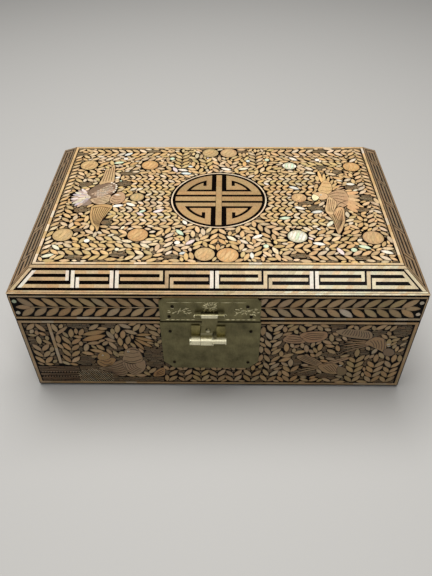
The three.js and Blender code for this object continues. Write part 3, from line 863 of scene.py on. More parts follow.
class FinishOperator(bpy.types.Operator):
    """Give the wood, the plinth, the brass and the nails their finishes"""

    bl_idname = "jewelry_box.finishes"
    bl_label = "Finishes"

    def execute(self, context):
        colours = context.scene.box_colours
        for name, low, high in (("box_body", BODY_LOW.z, BODY_HIGH.z), ("lid", LID_LOW.z, LID_RIM)):
            height = (low + high) / 2
            paint([name], lacquer_finish(colours.lacquer, name + "_lacquer", (0, 0, height * MM)))
        paint(["base_plinth"], lacquer_finish(srgb(16, 13, 10), "black_plinth"))
        brass = metal_finish(colours.brass, "aged_brass", roughness=0.42, wear=0.4)
        pin_low, pin_high = (corner.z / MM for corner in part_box("lock_pin"))
        strap_foot = (pin_low + pin_high) / 2 + BAND_ABOVE_PIN
        # The strap, the barrels and the pins take the pale cream: partly brass rubbed bright, partly a
        # painted highlight
        strap = metal_finish(colours.brass, "strap_brass", roughness=0.38, wear=0.3,
                             polish_and_highlight=colours.worn_brass, depths=STRAP_POLISH_AND_HIGHLIGHT, dull_height=strap_foot)
        barrel = metal_finish(colours.staple, "barrel_brass", roughness=0.42, wear=0.5,
                              polish_and_highlight=colours.worn_brass, depths=BARREL_POLISH_AND_HIGHLIGHT)
        pin_polish_and_highlight = metal_finish(colours.worn_brass, "worn_brass", roughness=0.34, wear=0.16)
        iron = metal_finish(srgb(42, 36, 24), "dark_nails", roughness=0.5, wear=0.3)
        leaves = [name for name in NODES if name.endswith("_leaf")]
        pins = [name for name in NODES if name.endswith("_pin")]
        nails = [name for name in NODES if "_nail_" in name]
        paint(["upper_lock_plate", "lower_lock_plate", *leaves], brass)
        paint(["hasp"], strap)
        paint(["left_staple", "right_staple"], barrel)
        paint(pins, pin_polish_and_highlight)
        paint(nails, iron)
        self.engrave()
        return {"FINISHED"}

    def engrave(self):
        """Bright engraved strokes on the upper plate: lines, a spray in the middle and one on each side."""
        bright = metal_finish(srgb(240, 230, 184), "engraved_brass", roughness=0.34, wear=0.1)
        face = Panel((0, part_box("lower_lock_plate")[0].y / MM, 0), (1, 0, 0), (0, 0, 1))
        rng = np.random.default_rng(5)
        strokes = []

        def stroke(x, z, angle, length, width):
            along = Vector((math.cos(angle), math.sin(angle))) * length / 2
            across = Vector((-math.sin(angle), math.cos(angle))) * width / 2
            middle = Vector((x, z))
            outline = [middle - along, middle - across, middle + along, middle + across]
            strokes.append((face, outline, srgb(224, 214, 168), 0.0))

        count = 6
        for z, start, end, width in ENGRAVED_LINES:
            step = (end - start) / count
            for i in range(count):
                length = step * rng.uniform(0.9, 1.1)
                stroke(start + (i + 0.5) * step, z, 0.0, length, width * rng.uniform(0.7, 1.2))
        for middle, spread_x, spread_z, count in ENGRAVED_SPRAYS:
            for _ in range(count):
                offset = (rng.uniform(-1, 1) * spread_x, rng.uniform(-1, 1) * spread_z)
                angle = math.atan2(offset[1], offset[0]) + rng.uniform(-0.5, 0.5)
                place = (middle[0] + offset[0], middle[1] + offset[1])
                stroke(*place, angle, rng.uniform(1.4, 3.4), rng.uniform(0.4, 0.9))
        curl_height = 86.6
        for x, facing in ((-15.5, -1), (4.6, 1)):
            for i in range(7):
                turn = facing * (0.4 + 0.55 * i)
                radius = 2.5 - 0.2 * i
                place = (x + radius * math.cos(turn), curl_height + radius * math.sin(turn))
                stroke(*place, turn + math.pi / 2, 1.8, 0.45)
        make_outlines("upper_plate_engraving", strokes, "lid", bright, height=0.05)


def shell_material():
    return bpy.data.materials.get("shell_inlay") or shell_finish()


# The round medallion, and the fruit on the top
MEDALLION = (0.5, -0.9)
MEDALLION_RADIUS = 39.0
FRUIT_RADIUS = 8.0
FRUIT_PLACES = (
    (-115.3, 51.0), (-61.2, 51.1), (-7.9, 72.1), (8.8, 72.1), (62.3, 49.7), (116.6, 48.4),
    (-66.9, 1.2), (66.1, 0.6), (-117.6, -49.0), (-60.6, -48.8), (60.2, -50.1), (116.7, -51.5),
    (-9.2, -71.2), (7.6, -72.2),
)

# The white fruit and the smaller ones, by their numbers in that list, and the tints of the brown ones
PEARLY_FRUIT = (4, 10)
SMALL_FRUIT = (4, 6, 7)
FRUIT_TINTS = ((192, 160, 112), (204, 158, 104), (186, 160, 114), (198, 160, 116))

# The places of the berries and the rosettes, and the middle and the half sizes of each patch of hatching
BERRY_PLACES = (
    (-98, -56), (-42, 62), (43, 60), (-30, -58), (36, -62), (-84, 62), (88, 60), (-74, -66), (100, -66),
    (26, 58),
)
ROSETTE_PLACES = ((114, 30), (113, -32), (46, 66), (28, -66), (80, -62), (36, 46))
TOP_PATCHES = (
    (-113, 20, 7, 5), (-79, 37, 9, 3.5), (-80, 21, 8, 4.5), (-126, 70, 8, 4), (-110, -17, 7, 4.5),
    (-87, -33, 6, 4), (-107, -43, 5, 3), (90, 48, 7, 3.5), (103, 40, 5, 5), (112, 16, 8, 4), (121, 1, 7, 5),
    (114, -16, 9, 3.5), (78, -14, 8, 4), (71, -7, 7, 3), (-72, -72, 8, 3), (60, -73, 9, 3), (20, 74, 8, 3),
    (-60, 75, 9, 3), (92, 75, 9, 3), (-104, -75, 9, 3), (104, -75, 8, 3), (-33, -74, 7, 3),
)

# Distances from the middle line of the long rows of leaves at both ends of the top
LONG_ROWS = (72.5, 64.3, 56.1, 47.9)

# Place and heading in degrees of the brightest leaves
BRIGHT_LEAVES = (
    (-128, -75, 20), (-75, -7, -28), (-86, -12, 12), (-57, -52, 60), (-32, -42, -50), (-33, 38, -8),
    (-94, 54, 14), (-24, -36, 120), (59, 17, -24), (57, 5, -30), (75, 40, -18), (61, -12, -22),
    (74, -20, 12), (48, -28, 8), (26, -53, 30), (80, -60, 168), (104, -61, -20), (92, -72, 116),
    (2, 46, -20), (17, 44, 12), (7, -50, -40), (-36, 44, -14), (-52, -20, 24), (128, -70, 160),
)


def smooth_run(points, closed=False, steps=4):
    """A smooth run of places through a few given ones."""
    count = len(points)
    places = [Vector(point) for point in points]
    run = []
    for i in range(count if closed else count - 1):
        near = [i + k if closed else min(max(i + k, 0), count - 1) for k in (-1, 0, 1, 2)]
        before, start, end, after = (places[k % count] for k in near)
        for step in range(steps):
            t = step / steps
            bend = (end - before) * t + (2 * before - 5 * start + 4 * end - after) * t ** 2
            bend += (3 * start - before - 3 * end + after) * t ** 3
            run.append(start + bend / 2)
    if not closed:
        run.append(places[-1])
    return run


class Figure:
    """A bird or a leaf spray cut from broad plates, with dark engraved lines and small scales on them."""

    # The height of a layer, and how feathers laid one by one are lifted
    LAYER = 0.05
    FEATHER_LIFT = 0.007
    FEATHER_STEP = 0.012
    FEATHER_LAYERS = 8

    # The colour of engraved lines and of the dark rim round a plate, and that rim's width
    ENGRAVED = srgb(66, 46, 28)
    RIM = 0.45

    def __init__(self, garden):
        self.garden = garden
        self.rng = garden.rng
        self.laid = 0

    def tone(self, tint, amount):
        return self.garden.palette.seen(srgb(*tint), amount)

    def lay(self, outline, colour, layer):
        self.garden.outlines.append((self.garden.panel, outline, colour, layer * self.LAYER))

    def spot(self, kind, place, angle, length, width, colour, layer):
        self.garden.add(kind, place, angle, length, width, colour, layer * self.LAYER)

    def plate(self, points, tint, layer=0):
        """A plate on a dark rim."""
        outline = smooth_run(points, True)
        self.garden.ground.take_outline([tuple(point) for point in outline])
        middle = sum(outline, Vector((0, 0))) / len(outline)
        rim = [point + (point - middle).normalized() * self.RIM for point in outline]
        self.lay(rim, self.ENGRAVED, layer - 0.4)
        self.lay(outline, self.tone(tint, 0.06), layer)

    def line(self, points, width=0.42, colour=None):
        """A line that narrows at both ends."""
        run = smooth_run(points)
        last = len(run) - 1
        left = []
        right = []
        for i, place in enumerate(run):
            along = (run[min(i + 1, last)] - run[max(i - 1, 0)]).normalized()
            across = Vector((-along.y, along.x)) * width / 2
            across *= 0.35 if i in (0, last) else 1
            left.append(place + across)
            right.append(place - across)
        self.lay(left + right[::-1], colour or self.ENGRAVED, 3)

    def lines(self, first, last, count, width=0.48):
        """Lines side by side, from the first run to the last."""
        for i in range(count):
            share = i / (count - 1)
            self.line([mixed(a, b, share) for a, b in zip(first, last)], width)

    def feathers(self, count, start, end, headings, lengths, width, bend, tint):
        """Feathers side by side: their bases run from start to end, and so do their headings and lengths."""
        for i in range(count):
            share = i / max(1, count - 1)
            base = mixed(start, end, share)
            degrees = headings[0] + (headings[1] - headings[0]) * share
            length = lengths[0] + (lengths[1] - lengths[0]) * share
            colour = self.tone(tint, 0.14)
            lift = self.FEATHER_LIFT + self.FEATHER_STEP * (self.laid % self.FEATHER_LAYERS)
            self.laid += 1
            self.garden.plant_blade(base, math.radians(degrees), length, width, bend, colour, lift)

    def scales(self, low, high, rows, columns, size, tint):
        """Small scales in slanting rows over a patch, from one corner place to the other three."""
        (a, b), (c, d) = low, high
        for row in range(rows):
            down = (row + 0.5) / rows
            for column in range(columns):
                along = (column + 0.5 + 0.5 * (row % 2)) / (columns + 0.5)
                place = mixed(mixed(a, b, along), mixed(c, d, along), down)
                heading = math.atan2(b[1] - a[1], b[0] - a[0])
                self.spot(LEAF, place, heading, size, size * 0.72, self.tone(tint, 0.2), 3)

    def beads(self, points, count, size, tint):
        """Small round plates along a run."""
        run = smooth_run(points)
        for i in range(count):
            place = run[round(i * (len(run) - 1) / (count - 1))]
            self.spot(DISC, place, 0.0, size, size, self.tone(tint, 0.08), 3)

    def accent(self, place, degrees, length, width, tint):
        """A small bright leaf, such as a beak or a glint."""
        self.spot(LEAF, place, math.radians(degrees), length, width, self.tone(tint, 0.0), 4)

    def eye(self, place, size=1.9):
        for share, tint, layer in ((1.0, (236, 226, 204), 4), (0.5, (30, 20, 14), 5)):
            self.spot(DISC, place, 0.0, size * share, size * share, srgb(*tint), layer)


def plant_closed_bird(garden):
    """The bird on the left of the top: a narrow raised wing, a scaled shoulder and a pale mottled tail."""
    bird = Figure(garden)
    bird.plate([(-104, 11), (-110, 10), (-115, 5), (-116.5, -2), (-114, -8), (-109, -11), (-103, -7)],
               (136, 114, 98), -1)
    pearly = ((212, 198, 192), (172, 150, 140), (204, 192, 168), (190, 172, 174), (186, 160, 136))
    for row, (out, reach) in enumerate(((6.5, 8.5), (2.5, 7.0), (-1.0, 5.5))):
        for i in range(10):
            degrees = 124 + 13 * (i + 0.5 * (row % 2))
            aim = math.radians(degrees)
            base = (-106.5 + out * math.cos(aim), 0.5 + 1.1 * out * math.sin(aim))
            tint = pearly[(i + 2 * row) % len(pearly)]
            bird.feathers(1, base, base, (degrees, degrees), (reach, reach), 2.9, 0.2, tint)
    bird.plate([(-108, 10), (-105, 16), (-101, 21), (-96, 23), (-90.4, 23.4), (-86.6, 20), (-85.3, 15),
                (-86.4, 9), (-90, 4), (-96, 0), (-103, -3), (-107, 3)], (124, 100, 80), 1)
    bird.scales(((-106, 5), (-91, 22)), ((-98, -1), (-86.6, 11)), 6, 7, 2.9, (182, 158, 134))
    bird.beads([(-91, 22.4), (-86.8, 19), (-86, 14), (-87.4, 8.5)], 7, 1.9, (228, 216, 194))
    bird.plate([(-101.3, 20), (-99.9, 31), (-99.5, 43), (-97.6, 44.5), (-95.3, 45.4), (-93.7, 51),
                (-92.2, 49.5), (-90.4, 35), (-89.6, 24), (-95, 22.4)], (190, 158, 116), 2)
    bird.lines([(-99, 23.5), (-98.3, 33), (-97.9, 43)], [(-91.9, 25.5), (-92.4, 36), (-93, 48)], 4, 0.5)
    bird.plate([(-105, -2.5), (-97, 1), (-90, 4.4), (-88.4, -2), (-92, -8), (-99, -8.5)],
               (190, 162, 128), 2)
    bird.lines([(-103, -3), (-96, -0.4), (-90, 2.4)], [(-100, -7.6), (-95, -6.8), (-90, -5.4)], 4)
    bird.plate([(-89, -1), (-86, 5), (-81.6, 8.6), (-78.2, 6), (-76.6, 0), (-78.2, -5.8), (-82.3, -8.5),
                (-87.4, -7)], (176, 144, 112), 3)
    bird.lines([(-88, -3), (-84, -6.6), (-79.6, -5)], [(-87, 2), (-84, 1), (-80, 1.6)], 3)
    bird.accent((-83.6, 4.1), -6, 5.2, 1.6, (240, 230, 212))
    bird.accent((-73.8, -4.4), -18, 6.4, 1.7, (214, 184, 138))
    bird.plate([(-101.4, -11.5), (-95, -9.3), (-89.2, -9.6), (-85.2, -12.4), (-87.9, -20.8), (-91.2, -32),
                (-91.7, -43), (-92.8, -44.2), (-94.7, -39), (-97.5, -36), (-99.5, -31), (-101, -26),
                (-102, -17)], (188, 152, 102), 1)
    bird.lines([(-100, -13.5), (-99.6, -24), (-96.2, -35)], [(-87, -13), (-89.6, -23), (-92.4, -40)], 8, 0.45)
    bird.line([(-101, -14.6), (-94, -12.6), (-86.4, -15)], 0.5)


def plant_open_bird(garden):
    """The bird on the right of the top: a raised wing like a hand, a fanned tail and a long hanging wing."""
    bird = Figure(garden)
    bird.feathers(6, (105, 6), (104, -11), (14, -52), (11.5, 11), 4.8, 0.0, (202, 162, 118))
    bird.plate([(89.6, 4.8), (95.2, 9.4), (101.4, 12.4), (105.9, 8), (106, -3), (102, -11.4), (95.6, -10.9),
                (92, -3)], (182, 148, 112), 1)
    bird.lines([(91, 4.6), (97, 7.6), (104.6, 6.8)], [(93, -2), (98, -5), (103, -9)], 4)
    bird.line([(105.3, -3.4), (100, -6), (95.6, -10.7), (91, -20.5)], 0.5)
    bird.feathers(4, (96, 14.5), (98.5, 8), (34, 8), (9.5, 8), 2.1, 0.0, (200, 160, 122))
    bird.feathers(6, (88.2, 23), (95.6, 12), (95, 46), (19, 8.5), 2.7, -0.1, (206, 168, 114))
    bird.plate([(83, 11.5), (86, 19), (89, 25), (91.6, 26), (94.2, 23.4), (95.2, 17), (94, 10), (90.4, 6),
                (86, 7)], (206, 168, 116), 2)
    bird.lines([(84.6, 11.4), (90, 10), (95, 11.6)], [(88.8, 22), (92, 22), (96.4, 20.6)], 3, 0.36)
    bird.plate([(77.6, 4.5), (82.7, 8.6), (88.6, 6.4), (90, 2), (87.1, -1.8), (82, -1.4)],
               (204, 166, 122), 3)
    bird.plate([(78.8, 5.2), (76.8, 1.6), (77.6, -3.4), (80.4, -2.6), (82.6, 1.4)], (230, 216, 170), 4)
    bird.eye((84.4, 4.4))
    bird.plate([(90.1, 1.4), (87.5, -8), (85.4, -16.2), (87.3, -22.4), (91, -21.6), (95, -11.4), (95.2, -3)],
               (204, 168, 124), 2)
    bird.lines([(90.4, -0.5), (88.6, -9), (87.4, -19)], [(94.2, -3.4), (93, -11), (90.4, -19.6)], 4)
    bird.plate([(87.5, -22.6), (89.2, -27.5), (90.2, -34), (90.4, -41), (91.6, -47.3), (94.6, -43),
                (97, -36.4), (98.6, -32), (100, -23), (100.6, -14), (97, -11), (92.6, -17)],
               (186, 152, 110), 1)
    bird.plate([(91.6, -19.6), (96, -13), (100, -13.6), (99.2, -24), (97, -31), (93.4, -29)],
               (196, 158, 114), 1.4)
    bird.lines([(89.4, -24), (91, -34), (91.8, -44)], [(98.6, -15), (98, -24), (95.6, -35)], 7, 0.5)


def plant_ducks(garden):
    """A crested duck on the water with its trailing wing, and a golden duckling before it."""
    duck = Figure(garden)
    duck.plate([(-75.6, 30.6), (-81.2, 29.2), (-86.1, 25.4), (-96.5, 20.6), (-88, 16.6), (-80.3, 10.8),
                (-75.4, 12), (-73, 20)], (172, 142, 106))
    duck.lines([(-75.6, 29), (-83, 24.6), (-94, 20.8)], [(-75, 14), (-80, 12.6), (-87.6, 16.4)], 6)
    duck.plate([(-59.2, 31.5), (-58, 26), (-59.2, 20), (-63, 15), (-68.5, 12.5), (-73.3, 17), (-75.8, 23.2),
                (-76, 29), (-68, 26)], (184, 154, 118), 1)
    duck.lines([(-74.8, 28), (-73.6, 19), (-66.5, 13.6)], [(-66.4, 26.5), (-65.6, 22.6), (-61.4, 19.6)], 5)
    duck.plate([(-75.6, 32.6), (-73.9, 38), (-72.4, 43), (-68, 46.6), (-63.3, 46), (-60.8, 41), (-59.6, 33),
                (-62, 29.4), (-68.5, 27.6), (-74.6, 30)], (180, 150, 112), 2)
    duck.line([(-75.2, 31.6), (-68.4, 29.4), (-60, 33.2)], 0.7)
    duck.lines([(-73.6, 36.6), (-68, 34.8), (-61.2, 37)], [(-71.6, 41.6), (-67, 40), (-61.8, 41.4)], 2)
    duck.line([(-68.4, 44.8), (-65, 45), (-61.8, 42.6)], 1.3, srgb(86, 60, 40))
    duck.accent((-76.2, 38.4), 2, 7.4, 3.0, (196, 168, 122))
    duck.eye((-70, 42.2), 1.8)
    duck.plate([(-95.6, 31), (-96, 26), (-91.2, 22.8), (-85, 25.4), (-81.2, 32.5), (-85.5, 34), (-89, 31.6)],
               (192, 150, 92))
    duck.lines([(-94.6, 29), (-90, 25.4), (-84.6, 28)], [(-93, 31.6), (-89, 29), (-85, 31.6)], 2)
    duck.plate([(-95.4, 34.2), (-93.5, 39), (-89.5, 41.4), (-86, 39), (-85.4, 35), (-88, 32.2), (-93, 31)],
               (196, 156, 98), 1)
    duck.accent((-97.6, 35.4), 8, 4.6, 1.8, (206, 172, 118))
    duck.eye((-90.8, 37.4), 1.5)
    duck.plate([(-51.6, 15.5), (-47.5, 20), (-43.2, 21.6), (-43.2, 14), (-46.1, 11), (-52.3, 10.4)],
               (190, 144, 88))
    duck.lines([(-51, 12), (-47, 13), (-44, 15)], [(-50, 15), (-47, 17.6), (-44, 20)], 3)


def plant_high_bird(garden):
    """The upper bird right of the lock: a barred wing, a rounded body and long thin tail feathers."""
    bird = Figure(garden)
    bird.feathers(5, (115.4, 55.4), (116.4, 51), (172, 206), (15, 23), 1.2, 0.1, (176, 142, 104))
    bird.plate([(89, 67), (96, 61.6), (105.4, 59.3), (115.4, 58.3), (117.4, 62), (113.8, 67.3),
                (103.9, 68.6), (96, 69.6)], (176, 150, 114))
    bird.lines([(94, 64), (95, 66.6), (96.6, 69)], [(115, 59), (115.2, 62), (113, 66.6)], 11, 0.5)
    bird.plate([(113.5, 53.4), (116, 57.6), (120.3, 60.6), (126.8, 58.4), (130, 50.2), (129.9, 43.4),
                (124.5, 46.4), (117.5, 50.8)], (188, 150, 104), 1)
    bird.lines([(116.4, 56.6), (119.6, 53), (121, 49)], [(127, 57.6), (128.6, 52), (129.2, 45)], 5, 0.5)
    bird.plate([(129.2, 45.6), (130.6, 40), (135, 38.6), (138, 41), (136.4, 45.4), (132.6, 47.4)],
               (146, 120, 88), 2)
    bird.accent((131.4, 52.6), 14, 3.2, 1.3, (240, 232, 218))
    bird.accent((132.2, 50.2), 4, 2.6, 1.1, (240, 232, 218))


def plant_low_bird(garden):
    """The lower bird right of the lock: one wing raised behind and one before, flying to the right."""
    bird = Figure(garden)
    bird.feathers(3, (81, 25.4), (82, 22.8), (186, 202), (13, 20), 1.2, 0.1, (182, 150, 108))
    bird.feathers(5, (78.6, 28.6), (74, 33.6), (158, 122), (17, 8), 2.0, 0.0, (170, 138, 98))
    bird.plate([(62.5, 36.6), (66, 38.8), (72, 37.4), (78, 34), (83.6, 28.6), (80.8, 26), (74, 27.6),
                (67, 32)], (184, 152, 110), 1)
    bird.lines([(64.4, 35.8), (71, 31), (79.4, 27)], [(68, 38), (75, 34.6), (81.6, 29.4)], 4)
    bird.plate([(81.4, 26), (90.9, 32), (101.6, 36.4), (103.4, 34.4), (96, 30), (88, 24.6)],
               (186, 154, 114), 1)
    bird.line([(84, 26.6), (92, 30.8), (101.4, 35)], 0.5)
    bird.plate([(80.8, 26), (89.8, 28.8), (97.6, 25.2), (99, 16.2), (91.6, 15.6), (85, 18.6)],
               (190, 154, 108), 2)
    bird.lines([(84.6, 24.6), (88, 21), (92, 16.8)], [(91.6, 28), (94.6, 24), (97.6, 18)], 5, 0.5)
    bird.plate([(97.4, 25), (102.6, 22.4), (104.6, 17), (101.9, 13.4), (98, 14.4), (96.6, 20)],
               (150, 126, 86), 3)
    bird.accent((98.4, 26.2), 20, 3.0, 1.2, (240, 232, 218))


def plant_broad_leaves(garden):
    """Broad rose-brown leaves above the lower bird."""
    spray = Figure(garden)
    spray.plate([(50.3, 56.6), (54.6, 62.6), (62.8, 61.6), (68.5, 58), (66, 53.6), (56, 53.2)],
                (190, 150, 108))
    spray.lines([(52.4, 56.2), (58, 54.8), (65, 55.4)], [(54, 60.4), (60, 60.4), (66, 58)], 3)
    spray.plate([(62.6, 62.6), (68.3, 66), (81, 66.4), (83.4, 61), (80, 56.6), (71, 54), (66, 57)],
                (192, 148, 104), 1)
    spray.lines([(65, 61), (72, 57.6), (80, 58.8)], [(68, 64.6), (74, 64.2), (81, 63.8)], 4)


class TopInlayOperator(bpy.types.Operator):
    """Cover the flat top with leaves, fruit, two birds and the round medallion"""

    bl_idname = "jewelry_box.top_inlay"
    bl_label = "Top inlay"

    def execute(self, context):
        rng = np.random.default_rng(context.scene.box_inlay.seed)
        palette = Palette(rng, 0.012)
        inlay = Inlay()
        edge = 3.2
        half = (TOP_HALF[0] - edge, TOP_HALF[1] - edge)
        garden = Garden(inlay, TOP, (-half[0], -half[1]), half, palette, rng)
        garden.gap *= CLOSE_SET
        across = 2 * MEDALLION_RADIUS
        garden.ground.take(*MEDALLION, 0.0, across, across, margin=0.6, sharpness=1.0)
        self.plant_fruit(garden)
        plant_closed_bird(garden)
        plant_open_bird(garden)
        for u, v, degrees in BRIGHT_LEAVES:
            garden.plant_leaf((u, v), math.radians(degrees), 9.5, 3.8, palette.bright())
        for u, v, half_u, half_v in TOP_PATCHES:
            garden.hatch_patch((u, v), 0.8 * half_u, 0.8 * half_v)
        for u, v in BERRY_PLACES:
            garden.plant_disc((u, v), rng.uniform(1.6, 2.3), palette.bright())
        self.plant_rows(garden, half)
        for u, v in ROSETTE_PLACES:
            for side in (-1, 1):
                garden.plant_rosette((side * u, v), 7.6, 6, rng.uniform(0, 1))

        def heading_at(u, v):
            """Leaves run away from the medallion, and nearly level near the long edges."""
            return math.atan2(v * 0.55, u)

        garden.fill_sprigs(320, heading_at, (10, 30), (-1.5, 1.5))
        garden.fill_leaves(2400, heading_at, 3.6, 1.9)
        garden.fill_dots(220)
        garden.hatch_rest()
        make_plates("top_leaf_inlay", inlay, "lid", shell_material())
        make_plates("top_hatching", garden.hatching, "lid", shell_material())
        make_outlines("top_bird_inlay", garden.outlines, "lid", shell_material())
        make_medallion()
        return {"FINISHED"}

    def plant_fruit(self, garden):
        """Round fruit with fine slanting lines, and two of white shell with a green cast."""
        rng = garden.rng
        colours = garden.palette.colours
        for i, place in enumerate(FRUIT_PLACES):
            radius = FRUIT_RADIUS * rng.uniform(0.88, 1.0) * (0.78 if i in SMALL_FRUIT else 1)
            pearly = i in PEARLY_FRUIT
            tint = FRUIT_TINTS[i % len(FRUIT_TINTS)]
            tint = srgb(206, 200, 170) if pearly else varied(rng, srgb(*tint), 0.06)
            garden.plant_disc(place, radius, tint, 0.6)
            angle = rng.uniform(0.9, 1.5)
            streaks = 5 if pearly else 3
            for k in range(streaks):
                offset = (k - (streaks - 1) / 2) * (2.5 if pearly else 3.4)
                at = (place[0] - math.sin(angle) * offset, place[1] + math.cos(angle) * offset)
                reach = 1.7 * math.sqrt(radius ** 2 - offset ** 2)
                plain = mixed(tint, colours.shell, 0.6)
                colour = garden.palette.bright() if pearly else varied(rng, plain, 0.14)
                garden.add(LEAF, at, angle, reach, 2.3 if pearly else 3.1, colour, 0.12)

    def plant_rows(self, garden, half):
        """The ordered rows: along the short edges, beside the medallion, and above and below it."""
        down = -math.pi / 2
        edge_leaf = (9.0, 3.5)
        row_leaf = (7.4, 3.1)
        for side in (-1, 1):
            outward = 0.0 if side > 0 else math.pi
            corner = (side * (half[0] - 6.6), half[1] - 0.6)
            garden.plant_sprig(corner, down, 2 * half[1], leaf=edge_leaf, pitch=5.6, spread=50)
            rows = 9
            spacing = 7.9
            for row in range(rows):
                v = MEDALLION[1] + (row - (rows - 1) / 2) * spacing
                inside = MEDALLION_RADIUS ** 2 - (v - MEDALLION[1]) ** 2
                start = MEDALLION[0] + side * (math.sqrt(max(0.0, inside)) + 1.5)
                garden.plant_sprig((start, v), outward, 84 - abs(start), leaf=row_leaf, pitch=5.3,
                                   spread=34, tip=False)
            heading = side * math.pi / 2
            garden.plant_sprig((0.4, MEDALLION[1] + side * (MEDALLION_RADIUS + 1)), heading, 24, spread=40)
            for u in (-33, 33):
                garden.plant_sprig((u, side * 46), heading, 30, leaf=edge_leaf, pitch=5.4, spread=46)
            for degrees in (48, 66, 114, 132):
                angle = side * math.radians(degrees)
                start = (MEDALLION_RADIUS + 2) * math.cos(angle), (MEDALLION_RADIUS + 2) * math.sin(angle)
                garden.plant_sprig(start, angle, 26, curl=side * (1.4 if degrees > 90 else -1.4))
            for end in (-1, 1):
                for i, v in enumerate(LONG_ROWS):
                    start = (end * (47 + 3 * i), side * v)
                    garden.plant_sprig(start, math.pi / 2 * (1 - end), 78 - 3 * i, pitch=6.4, spread=35)


def make_medallion():
    """The round medallion: a ring, a cross of bars and a fret in each quarter."""
    rng = np.random.default_rng(3)
    palette = Palette(rng, 0.0)
    tan = srgb(167, 135, 93)
    outlines = []

    def plate(outline, tint=None):
        moved = [(MEDALLION[0] + u, MEDALLION[1] + v) for u, v in outline]
        outlines.append((TOP, moved, tint or varied(rng, tan, 0.12), 0.0))

    count = 24
    outer = MEDALLION_RADIUS
    ring_width = 1.1
    inner = MEDALLION_RADIUS - ring_width
    for i in range(count):
        angles = [2 * math.pi * (i + step / 4) / count for step in range(5)]
        ring = [(outer * math.cos(a), outer * math.sin(a)) for a in angles]
        ring += [(inner * math.cos(a), inner * math.sin(a)) for a in reversed(angles)]
        plate(ring, varied(rng, mixed(palette.colours.shell, palette.colours.pearl, 0.4), 0.2))
    disc = MEDALLION_RADIUS - 3.5
    bar = 2.3
    bar_gap = 0.3
    middle_bar = 3.0
    outer_bar = (5.8, 10.5)

    def half_chord(v):
        return math.sqrt(disc ** 2 - v ** 2)

    def level_bar(low, high, side):
        near = side * (bar + bar_gap)
        steps = 3
        ends = [low + (high - low) * i / steps for i in range(steps + 1)]
        curved = [(side * half_chord(v), v) for v in ends]
        plate([(near, low), *curved, (near, high)])

    pieces = 8
    for i in range(pieces):
        v = [-disc + 2 * disc * (i + end) / pieces for end in (0, 1)]
        plate([(-bar, v[0]), (bar, v[0]), (bar, v[1]), (-bar, v[1])])
    for side in (-1, 1):
        level_bar(-middle_bar, middle_bar, side)
        for turn in (-1, 1):
            level_bar(*sorted(turn * v for v in outer_bar), side)
            make_quarter_fret(plate, disc, side, turn)
    make_outlines("top_medallion", outlines, "lid", shell_material())


def make_quarter_fret(plate, disc, side, turn):
    """One quarter: a band along the rim, down beside the upright and back as a hook."""
    band = 6.2
    inner = disc - band
    inside = 6.2
    outside = 10.6
    foot = 10.6
    hook_low = 13.2
    hook_width = 2.7
    hook_depth = 4.6
    steps = 10

    def place(u, v):
        return (side * u, turn * v)

    def arc(radius, start, end):
        angles = [start + (end - start) * i / steps for i in range(steps + 1)]
        return [(radius * math.cos(a), radius * math.sin(a)) for a in angles]

    top_outer = math.acos(inside / disc)
    top_inner = math.acos(outside / inner)
    foot_outer = math.asin(foot / disc)
    foot_inner = math.asin(foot / inner)
    band_outline = arc(disc, foot_outer, top_outer) + [(inside, hook_low), (outside, hook_low)]
    band_outline += arc(inner, top_inner, foot_inner)
    plate([place(*point) for point in band_outline])
    hook_outer = inner - 2.4
    start = math.asin(hook_low / hook_outer)
    end = math.acos((outside + hook_width) / hook_outer)
    top_v = hook_outer * math.sin(end)
    hook = [(outside, hook_low), (hook_outer * math.cos(start), hook_low)]
    hook += arc(hook_outer, start, end)
    hook += [(outside + hook_width, top_v - hook_depth), (outside, top_v - hook_depth)]
    plate([place(*point) for point in hook])


def make_border(inlay, palette, panel, low, high, width):
    """Four strips round a rectangle, inside its edges."""
    middle = width / 2
    for v in (low[1] + middle, high[1] - middle):
        inlay.strip(palette, panel, (low[0], v), (high[0], v), width)
    for u in (low[0] + middle, high[0] - middle):
        inlay.strip(palette, panel, (u, low[1] + width), (u, high[1] - width), width)


# Heights of the fret's three bars on the slope, measured up from the rim, of the plain strips below and above
# it, and of what lies between those
FRET_BARS = ((14.7, 17.1), (9.75, 12.25), (4.6, 7.1))
PLAIN_STRIPS = ((0.1, 1.2), (1.5, 2.6), (19.1, 21.2))
BETWEEN_STRIPS = (2.9, 18.6)

# Places along the slope of the single uprights, which have a hook on each side, and of the double ones
FRONT_UPRIGHTS = ((-102.7, -35.6, 34.3, 107.1), (-73.0, -1.8, 68.8))
SIDE_UPRIGHTS = ((-66.0, 0.0, 66.0), (-33.0, 33.0))

# Measured from the middle of an upright: its sides, its hooks, the double strips and the ends of the bars
UPRIGHT = (-1.3, 1.3)
LEFT_HOOK = (-5.1, -2.8)
RIGHT_HOOK = (2.3, 4.8)
DOUBLE_STRIPS = ((-3.2, -0.6), (0.6, 3.2))
BAR_END = 3.2
MIDDLE_BAR_END = 4.3

# Length of the pieces of a bar, and of those on the right of the front, with half their slant
BAR_PIECE = 9.0
SLANTING_PIECE = 5.0
PIECE_SLANT = 0.9


